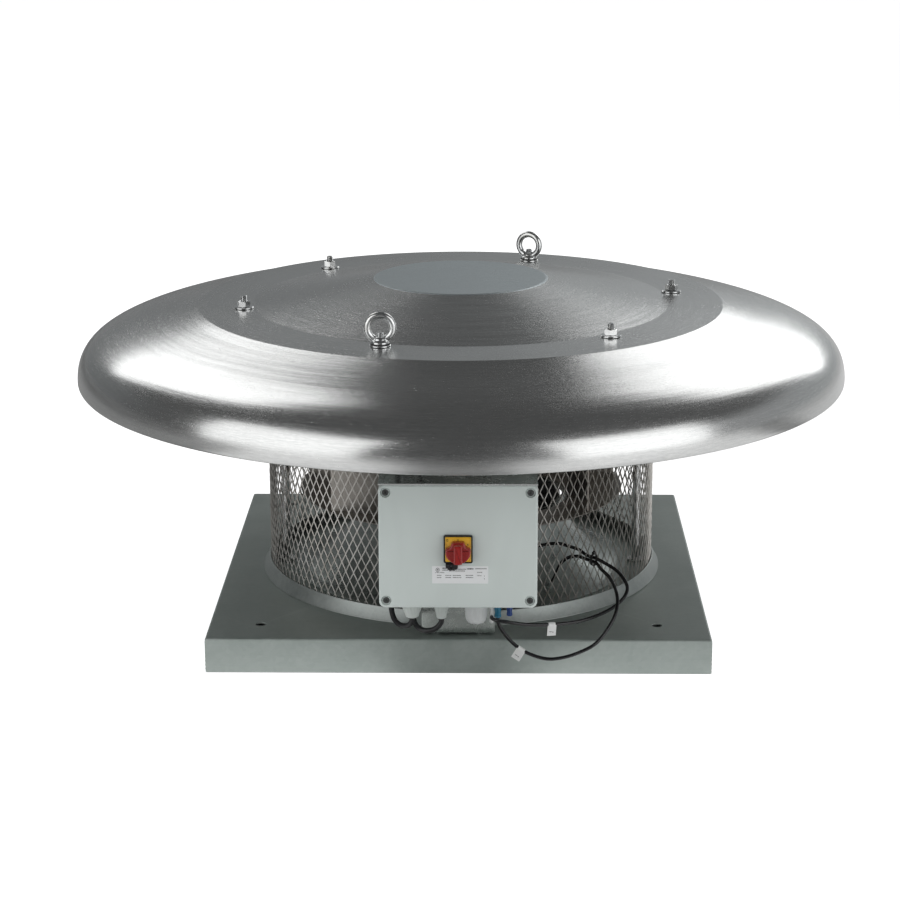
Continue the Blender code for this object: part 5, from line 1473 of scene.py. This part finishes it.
def make_switch():
    s = SWITCH_SIDE / 2
    cx, cz = SWITCH_X, SWITCH_Z
    f = BOX_FRONT_Y - GAP
    F = front_frame()
    B = Build()
    B.prism(rounded(cx, cz, 2 * s, 2 * s, 2.8, 6), F, -f, -f + 4.6, 0.2, 0.7, 4)
    C = Build()
    C.prism(rounded(cx, cz, 2 * s - 3.6, 2 * s - 3.6, 1.4, 4), F, 420, 440)
    D = Build()
    D.box((cx - 16.2, f - 2.9, cz - s - 3), (cx - 3.8, f - 0.5, cz - s + 6))
    me = carve(B, [C, D])
    settle("switch_frame", me, "black", replaces="switch_bezel", smooth=28)
    # yellow plate with a raised, rounded border
    P = Build()
    P.prism(rounded(cx, cz, 2 * s - 4.4, 2 * s - 4.4, 1.2, 4), F, -(f - 3.2), -(f - 4.2), 0.1, 0.15, 2)
    ro, ri = rounded(cx, cz, 2 * s - 4.6, 2 * s - 4.6, 1.6, 5), rounded(cx, cz, 2 * s - 7.4, 2 * s - 7.4, 1.0, 5)
    n = len(ro)
    V = []
    for k, (t, h) in enumerate(((0.0, 0.0), (0.12, 0.42), (0.5, 0.62), (0.88, 0.42), (1.0, 0.0))):
        for (ax, az), (bx, bz) in zip(ro, ri):
            V.append(F @ Vector((ax + (bx - ax) * t, az + (bz - az) * t, -(f - 4.15) + h)))
    Fc = []
    for k in range(4):
        for i in range(n):
            j = (i + 1) % n
            Fc.append((k * n + i, k * n + j, (k + 1) * n + j, (k + 1) * n + i))
    for i in range(n):
        j = (i + 1) % n
        Fc.append((4 * n + i, 4 * n + j, j, i))
    P.add(V, Fc)
    me = bpy.data.meshes.new("switch_plate_yellow")
    me.from_pydata([tuple(float(c) * MM for c in v) for v in P.v], [], P.f)
    settle("switch_plate_moulded", me, "yellow", replaces="switch_plate", smooth=30)
    # generic position marks: a ring, a bar and a short bar
    M = Build()
    yf = f - 4.25
    pts = [(cx - 14.6 + 0.95 * math.cos(2 * math.pi * i / 16), cz + 12.9 + 1.5 * math.sin(2 * math.pi * i / 16)) for i in range(17)]
    stroke(M, pts, 0.5, yf)
    stroke(M, [(cx - 0.2, cz + 14.6), (cx - 0.2, cz + 11.6)], 0.75, yf)
    stroke(M, [(cx + 12.5, cz + 8.0), (cx + 12.5, cz + 5.8)], 0.5, yf)
    stroke(M, [(cx + 13.6, cz + 8.0), (cx + 13.6, cz + 5.8)], 0.5, yf)
    M.done("switch_marks", "print")

    # handle
    y0 = f - 4.6 - GAP
    K = Build()
    heel = []
    for i in range(25):
        a = math.pi + math.pi * i / 24
        heel.append((cx + 17.2 * math.cos(a), cz + 17.2 * math.sin(a)))
    head = [(cx + 17.0, cz + 1.0), (cx + 16.0, cz + 3.0), (cx + 10.4, cz + 6.0), (cx + 9.2, cz + 10.0), (cx + 7.2, cz + 12.6),
            (cx - 7.2, cz + 12.6), (cx - 9.2, cz + 10.0), (cx - 10.4, cz + 6.0), (cx - 16.0, cz + 3.0), (cx - 17.0, cz + 1.0)]
    closed = heel + head
    fl = fillet([closed[-1]] + closed + [closed[0]], [0] + [0] * 25 + [1.0, 1.0, 3.0, 3.0, 2.6, 2.6, 3.0, 3.0, 1.0, 1.0] + [0], 4)
    fl = [p for i, p in enumerate(fl[1:-1]) if i == 0 or math.dist(p, fl[1:-1][i - 1]) > 0.05]
    K.prism(fl, F, -y0, -y0 + 12.0, 0.5, 2.4, 6)
    rib = fillet([(cx, cz - 15.4), (cx + 5.8, cz - 14.6), (cx + 5.6, cz + 10.8), (cx, cz + 11.4)], [0, 2.0, 2.0, 0], 4)
    rib = rib + [(2 * cx - x, z) for x, z in reversed(rib[1:-1])]
    K.prism(rib, F, -y0 + 9.0, -y0 + 22.0, 0.0, 2.2, 6)
    K.revolve([(0, -y0 - 9.5), (5.2, -y0 - 9.5), (5.2, -y0 + 3.0), (0, -y0 + 3.0)], 32, frame_m=front_frame(cx, 0, cz))
    ob = K.done("switch_handle", "red", "knob", "switch_knob", smooth=34)
    # padlock slide
    top = cz - s - GAP
    T = Build()
    tab = fillet([(cx - 10, top), (cx - 17.0, top), (cx - 17.0, top - 5.0), (cx - 13.5, top - 8.6), (cx - 2.6, top - 8.6),
                  (cx - 0.4, top - 6.0), (cx - 0.4, top), (cx - 10, top)], [0, 0.5, 1.5, 1.5, 1.5, 1.0, 0.5, 0], 4)[1:-1]
    T.prism(tab, F, -(f - 0.9), -(f - 6.0), 0.2, 0.9, 4)
    bore = Build()
    bore.revolve([(0, 424), (1.8, 424), (1.8, -(f - 5.4)), (2.3, -(f - 6.05)), (2.3, 440), (0, 440)], 28,
                 frame_m=front_frame(cx - 9.5, 0, top - 4.6))
    me = carve(T, [bore])
    ob = settle("padlock_slide_tab", me, "black", "padlock_slide", "lock_slide", smooth=30)
    # block behind the lid
    W = Build()
    W.box((cx - 19, BOX_FRONT_Y + 13, cz - 24), (cx + 19, BOX_FRONT_Y + 60, cz + 24), 1.5)
    W.done("switch_block", "black", replaces="switch_body")


make_switch()


def make_label():
    """Rating label with generic grey marks only."""
    cx, cz = 4.1, 169.1
    w, h = 76.0, 24.7
    y = BOX_FRONT_Y
    B = Build()
    B.prism(rounded(cx, cz, w, h, 0.8, 4), front_frame(), -y - 0.02, -y + 0.16)
    B.mat = 1
    yf = y - 0.16

    def bar(x, z, l, t=0.8):
        o = rounded(cx - w / 2 + x + l / 2, cz + h / 2 - z, l, t, t * 0.3, 2)
        B.prism(o, front_frame(), -yf - 0.02, -yf + 0.05)

    ringc = (cx - w / 2 + 7.4, cz + h / 2 - 5.3)
    stroke(B, [(ringc[0] + 2.3 * math.cos(2 * math.pi * i / 20), ringc[1] + 2.6 * math.sin(2 * math.pi * i / 20))
               for i in range(21)], 0.55, yf, 0.1)
    bar(6.3, 5.3, 2.2, 1.6)
    rng = np.random.default_rng(3)

    def text(x0, x1, z, size, gap):
        x = x0
        while x < x1:
            l = float(rng.uniform(0.6, 1.6)) * size
            l = min(l, x1 - x)
            if l > 0.3:
                bar(x, z, l, size * 1.35)
            x += l + float(rng.uniform(0.2, 0.5)) * gap

    text(14.0, 20.0, 3.0, 1.2, 1.0)
    text(14.0, 31.0, 5.6, 1.0, 1.0)
    text(23.0, 46.0, 4.3, 0.9, 0.9)
    text(23.0, 45.0, 6.8, 0.8, 0.9)
    text(47.0, 56.0, 3.8, 1.4, 1.4)
    text(58.0, 74.0, 3.6, 0.8, 0.7)
    text(61.0, 68.0, 8.8, 0.7, 0.6)
    text(4.0, 17.0, 9.3, 0.8, 1.4)
    for z in (13.2, 16.2):
        text(6.5, 13.0, z, 0.8, 1.0)
        text(18.0, 26.0, z, 0.8, 1.2)
        text(28.0, 39.5, z, 0.8, 1.1)
        text(45.5, 56.0, z, 0.8, 0.8)
    text(61.0, 67.0, 13.4, 0.7, 0.8)
    text(70.5, 71.6, 14.0, 0.7, 0.8)
    text(70.5, 71.6, 18.0, 0.7, 0.8)
    B.done("rating_label", "label", mats=["label", "print"], smooth=30)


make_label()


# ============================================================ glands, fittings
def knurled(B, c, rows, ribs, depth, segs_per=6):
    """Turned body whose radius carries ribs: rows are (r, z, amount of ribbing)."""
    segs = ribs * segs_per
    V, F = [], []
    for r, z, k in rows:
        for i in range(segs):
            a = 2 * math.pi * i / segs
            t = (i % segs_per) / segs_per
            rr = r - k * depth * (0.5 - 0.5 * math.cos(2 * math.pi * t))
            V.append((c[0] + rr * math.cos(a), c[1] + rr * math.sin(a), z))
    n = len(rows)
    for q in range(n - 1):
        for i in range(segs):
            j = (i + 1) % segs
            F.append((q * segs + i, q * segs + j, (q + 1) * segs + j, (q + 1) * segs + i))
    F.append(tuple(reversed(range(segs))))
    F.append(tuple(range((n - 1) * segs, n * segs)))
    B.add(V, F)


def make_glands():
    zb = BOX_CZ - BOX_H / 2
    y = GLAND_Y
    top = zb + 12.0
    zc = zb - GAP
    for g, (rh, rd, tip) in enumerate(((14.4, 13.6, 5.4), (11.0, 10.3, 4.8))):
        x, rt, z1 = GLANDS[g]
        c = (x, y)
        B = Build()
        B.revolve([(0, top), (rt - 0.4, top), (rt, top - 0.5), (rt, zc), (0, zc)], 48, c)
        # hexagon flange
        V, F, segs = [], [], 72
        rows = [(0, 0, zc - 0.02), (1, 0.97, zc - 0.02), (2, 1.0, zc - 0.8), (2, 1.0, zc - 6.0), (1, 0.97, zc - 6.6), (0, 0, zc - 6.6)]
        flat = rh * 0.93
        for kind, k, z in rows[1:5]:
            for i in range(segs):
                a = 2 * math.pi * i / segs
                r = min(hex_radius(a, flat), rh) * k
                V.append((c[0] + r * math.cos(a), c[1] + r * math.sin(a), z))
        for q in range(3):
            for i in range(segs):
                j = (i + 1) % segs
                F.append((q * segs + i, q * segs + j, (q + 1) * segs + j, (q + 1) * segs + i))
        F.append(tuple(reversed(range(segs))))
        F.append(tuple(range(3 * segs, 4 * segs)))
        B.add(V, F)
        knurled(B, c, [(rd * 0.98, zc - 6.7, 0.0), (rd, zc - 7.4, 1.0), (rd - 0.2, zc - 13.2, 1.0), (rd * 0.955, zc - 15.6, 0.8),
                       (rd * 0.90, zc - 18.2, 0.4), (rd * 0.80, zc - 21.2, 0.0), (rd * 0.66, z1 + 1.9, 0.0),
                       (tip + 1.0, z1 + 0.4, 0.0), (tip, z1, 0.0)], 18, 0.55)
        B.done("cable_gland_%d_domed" % (g + 1), "gland", replaces="cable_gland_%d" % (g + 1), smooth=32)
        S = Build()
        S.revolve([(CABLE_D / 2 + 0.05, z1 - 1.4), (CABLE_D / 2 + 1.1, z1 - 1.2), (tip - 0.3, z1 - 0.05), (tip - 0.3, z1 + 0.5),
                   (CABLE_D / 2 + 0.05, z1 + 0.5)], 32, c)
        S.done("gland_seal_%d" % (g + 1), "gasket")
    # large frosted blanking cap with faint ribs
    x, rt, z1 = GLANDS[2]
    B = Build()
    B.revolve([(0, top), (rt - 0.4, top), (rt, top - 0.5), (rt, zc), (0, zc)], 48, (x, y))
    knurled(B, (x, y), [(15.0, zc, 0.0), (15.4, zc - 0.6, 0.6), (15.7, zc - 4, 1.0), (15.5, zc - 20, 1.0), (15.3, zc - 25, 0.9),
                        (14.7, zc - 29, 0.6), (13.4, zc - 32.4, 0.3), (11.2, zc - 35.0, 0.0), (8.0, zc - 36.3, 0.0),
                        (4.0, z1, 0.0)], 24, 0.45)
    B.done("blanking_cap_ribbed", "cap", replaces="blanking_cap", smooth=34)
    # white elbow
    x, r, z1 = GLANDS[3]
    B = Build()
    B.revolve([(0, top), (r - 0.3, top), (r, top - 0.4), (r, zc), (3.3, zc), (3.4, zc - 0.4), (3.4, zc - 3.0), (3.0, zc - 3.6),
               (3.0, z1 + 2.4), (2.6, z1 + 1.0), (1.6, z1 + 0.2), (0, z1)], 36, (x, y))
    B.revolve([(0, 0), (2.4, 0), (2.4, 4.4), (2.05, 4.9), (2.4, 7.2), (2.0, 8.0), (0, 8.0)], 28,
              frame_m=axis_frame(Vector((x, y, 96.0)), (0, -1, 0)))
    B.done("tube_elbow_white", "white", replaces="tube_fitting_1", smooth=30)
    for k, (g, rb, mat) in enumerate(((GLANDS[4], 4.9, "cyan"), (GLANDS[5], 4.1, "blue"))):
        x, r, z = g
        B = Build()
        B.revolve([(0, top), (r - 0.3, top), (r, top - 0.4), (r, zc), (rb - 0.3, zc), (rb, zc - 0.4), (rb, z + 9.4),
                   (rb - 0.5, z + 8.8), (rb - 0.55, z + 4.4), (rb - 0.1, z + 3.9), (rb, z + 3.4), (rb, z + 0.7), (rb - 0.5, z + 0.1),
                   (2.9, z), (2.5, z + 0.6), (0, z + 0.6)], 40, (x, y))
        B.done("tube_fitting_%d_push_in" % (k + 2), mat, replaces="tube_fitting_%d" % (k + 2), smooth=28)


make_glands()


def make_tie():
    c = polar(GUARD_R + 5.0, TUBE_AZIMUTH, TUBE_PASS_Z)
    t = polar(1, TUBE_AZIMUTH + 90)
    nrm = polar(1, TUBE_AZIMUTH)
    up = Vector((0, 0, 1))
    B = Build()
    rows, V, F = [], [], []
    m = 48
    for depth, grow in ((-1.9, 0.1), (-1.6, 0.0), (1.6, 0.0), (1.9, 0.1), (1.9, 1.2), (1.6, 1.4), (-1.6, 1.4), (-1.9, 1.2)):
        row = []
        for i in range(m):
            a = 2 * math.pi * i / m
            u = 4.7 * math.cos(a)
            w = 3.1 * max(-1.0, min(1.0, 3.5 * math.sin(a))) + 4.7 * math.sin(a)
            l = math.hypot(u, w)
            row.append(len(V))
            V.append(c + t * (u * (l + grow) / l) + up * (w * (l + grow) / l) + nrm * depth)
        rows.append(row)
    for k in range(8):
        a, b = rows[k], rows[(k + 1) % 8]
        for i in range(m):
            j = (i + 1) % m
            F.append((a[i], b[i], b[j], a[j]))
    B.add(V, F)
    # lock head and the cut tail
    M = Matrix((( t.x, up.x, nrm.x, 0), (t.y, up.y, nrm.y, 0), (t.z, up.z, nrm.z, 0), (0, 0, 0, 1)))
    M = Matrix.Translation(c + up * 10.0) @ M
    B.prism(rounded(0, 0, 4.0, 3.6, 0.7, 4), M, -2.5, 2.5, 0.4, 0.4, 3)
    B.prism(rounded(0.4, 2.4, 1.2, 1.4, 0.3, 3), M, -1.6, 1.6, 0.2, 0.2, 2)
    B.done("tube_tie_strap", "black", replaces="tube_tie", smooth=34)


make_tie()


# ============================================================= studio and light
def make_stage():
    floor = bpy.data.meshes.new("floor")
    L = 40.0
    floor.from_pydata([(-L, -L, -0.0006), (L, -L, -0.0006), (L, L, -0.0006), (-L, L, -0.0006)], [], [(0, 1, 2, 3)])
    fo = bpy.data.objects.new("floor", floor)
    SCENE.collection.objects.link(fo)
    m, nt, b = start("studio_floor", (0.90, 0.90, 0.90), 0.9)
    b.inputs["Specular IOR Level"].default_value = 0.1
    n = noise(nt, coords(nt), 3.0, 2.0, 0.5)
    lp = node(nt, "ShaderNodeLightPath").outputs["Is Camera Ray"]
    pale = mix_rgb(nt, n, (0.89, 0.89, 0.89), (0.91, 0.91, 0.91))
    nt.links.new(mix_rgb(nt, lp, (0.50, 0.50, 0.50), pale), b.inputs["Base Color"])
    b.inputs["Emission Color"].default_value = (1, 1, 1, 1)
    sep = node(nt, "ShaderNodeSeparateXYZ", {0: coords(nt)}).outputs
    far = math_node(nt, 'MAXIMUM', math_node(nt, 'ABSOLUTE', sep[0]), math_node(nt, 'ABSOLUTE', sep[1]))
    open_floor = remap(nt, far, 0.353, 0.356, 0, 1)
    reach = math_node(nt, 'SQRT', math_node(nt, 'ADD', math_node(nt, 'MULTIPLY', sep[0], sep[0]),
                                            math_node(nt, 'MULTIPLY', sep[1], sep[1])))
    sideways = math_node(nt, 'DIVIDE', math_node(nt, 'ABSOLUTE', sep[0]), reach)
    ahead = math_node(nt, 'DIVIDE', sep[1], reach)
    left = remap(nt, ahead, -0.62, -0.42, 1.0, 0.0, True)
    right = math_node(nt, 'MAXIMUM', remap(nt, ahead, -0.15, 0.0, 1.0, 0.0, True), remap(nt, ahead, 0.1, 0.3, 0.0, 0.6, True))
    which = remap(nt, sep[0], -0.01, 0.01, 0.0, 1.0)
    sector = math_node(nt, 'ADD', math_node(nt, 'MULTIPLY', which, right),
                       math_node(nt, 'MULTIPLY', math_node(nt, 'SUBTRACT', 1.0, which), left))
    glow = math_node(nt, 'ADD', 0.06, math_node(nt, 'MULTIPLY', sector, remap(nt, sideways, 0.10, 0.40, 0.0, 0.62, True)))
    nt.links.new(math_node(nt, 'MULTIPLY', math_node(nt, 'ADD', math_node(nt, 'MULTIPLY', lp, FLOOR_WHITE), math_node(nt, 'MULTIPLY', math_node(nt, 'SUBTRACT', 1.0, lp), glow)), open_floor),
                 b.inputs["Emission Strength"])
    floor.materials.append(m)

    world = bpy.data.worlds.new("studio")
    SCENE.world = world
    world.use_nodes = True
    nt = world.node_tree
    nt.nodes.clear()
    out = node(nt, "ShaderNodeOutputWorld")
    d = node(nt, "ShaderNodeTexCoord").outputs["Generated"]
    sep = node(nt, "ShaderNodeSeparateXYZ", {0: d}).outputs
    # a grey room: dark overhead and on the left, paler low at the back and on the right
    back = remap(nt, sep[1], -0.1, 0.8, 0.0, 1.0, True)
    low = remap(nt, sep[2], 0.34, 0.60, 1.0, 0.0, True)
    right = remap(nt, sep[0], 0.1, 0.9, 0.0, 1.0, True)
    col = mix_rgb(nt, math_node(nt, 'MULTIPLY', right, low), (0.086, 0.087, 0.087), (0.34, 0.345, 0.35))
    behind = mix_rgb(nt, remap(nt, sep[0], -0.20, 0.18, 0.0, 1.0, True), (0.18, 0.187, 0.19), (0.38, 0.395, 0.40))
    col = mix_rgb(nt, math_node(nt, 'MULTIPLY', back, low), col, behind)
    hor = remap(nt, sep[2], -0.02, 0.02, 1.0, 0.0)
    col = mix_rgb(nt, hor, col, (0.6, 0.6, 0.6))
    bg = node(nt, "ShaderNodeBackground", {"Color": col, "Strength": 1.0})
    white = node(nt, "ShaderNodeBackground", {"Color": (1, 1, 1, 1), "Strength": 1.0})
    lp = node(nt, "ShaderNodeLightPath")
    mx = node(nt, "ShaderNodeMixShader", {0: lp.outputs["Is Camera Ray"], 1: bg.outputs[0], 2: white.outputs[0]})
    nt.links.new(mx.outputs[0], out.inputs[0])


FLOOR_WHITE = 0.90


def softbox(name, azimuth, elevation, dist, w, h, radiance):
    """Rectangular soft light; azimuth is measured from the back, towards the right."""
    a, e = math.radians(azimuth), math.radians(elevation)
    target = Vector((0, 0, 0.4))
    loc = target + Vector((math.sin(a) * math.cos(e), math.cos(a) * math.cos(e), math.sin(e))) * dist
    ld = bpy.data.lights.new(name, 'AREA')
    ld.shape = 'RECTANGLE'
    ld.size, ld.size_y = w, h
    ld.energy = radiance * w * h * math.pi
    ob = bpy.data.objects.new(name, ld)
    SCENE.collection.objects.link(ob)
    ob.location = loc
    ob.rotation_euler = (target - loc).to_track_quat('-Z', 'Y').to_euler()
    return ob


make_stage()
softbox("softbox_front_left", -130, 21, 3.6, 3.2, 2.9, 1.45)
softbox("softbox_front_right", 131, 17, 3.6, 2.9, 2.5, 1.45)
softbox("softbox_back_left", -35, 38, 3.6, 1.5, 2.2, 1.9)
softbox("softbox_back_right", 32, 30, 3.6, 1.7, 2.2, 1.9)
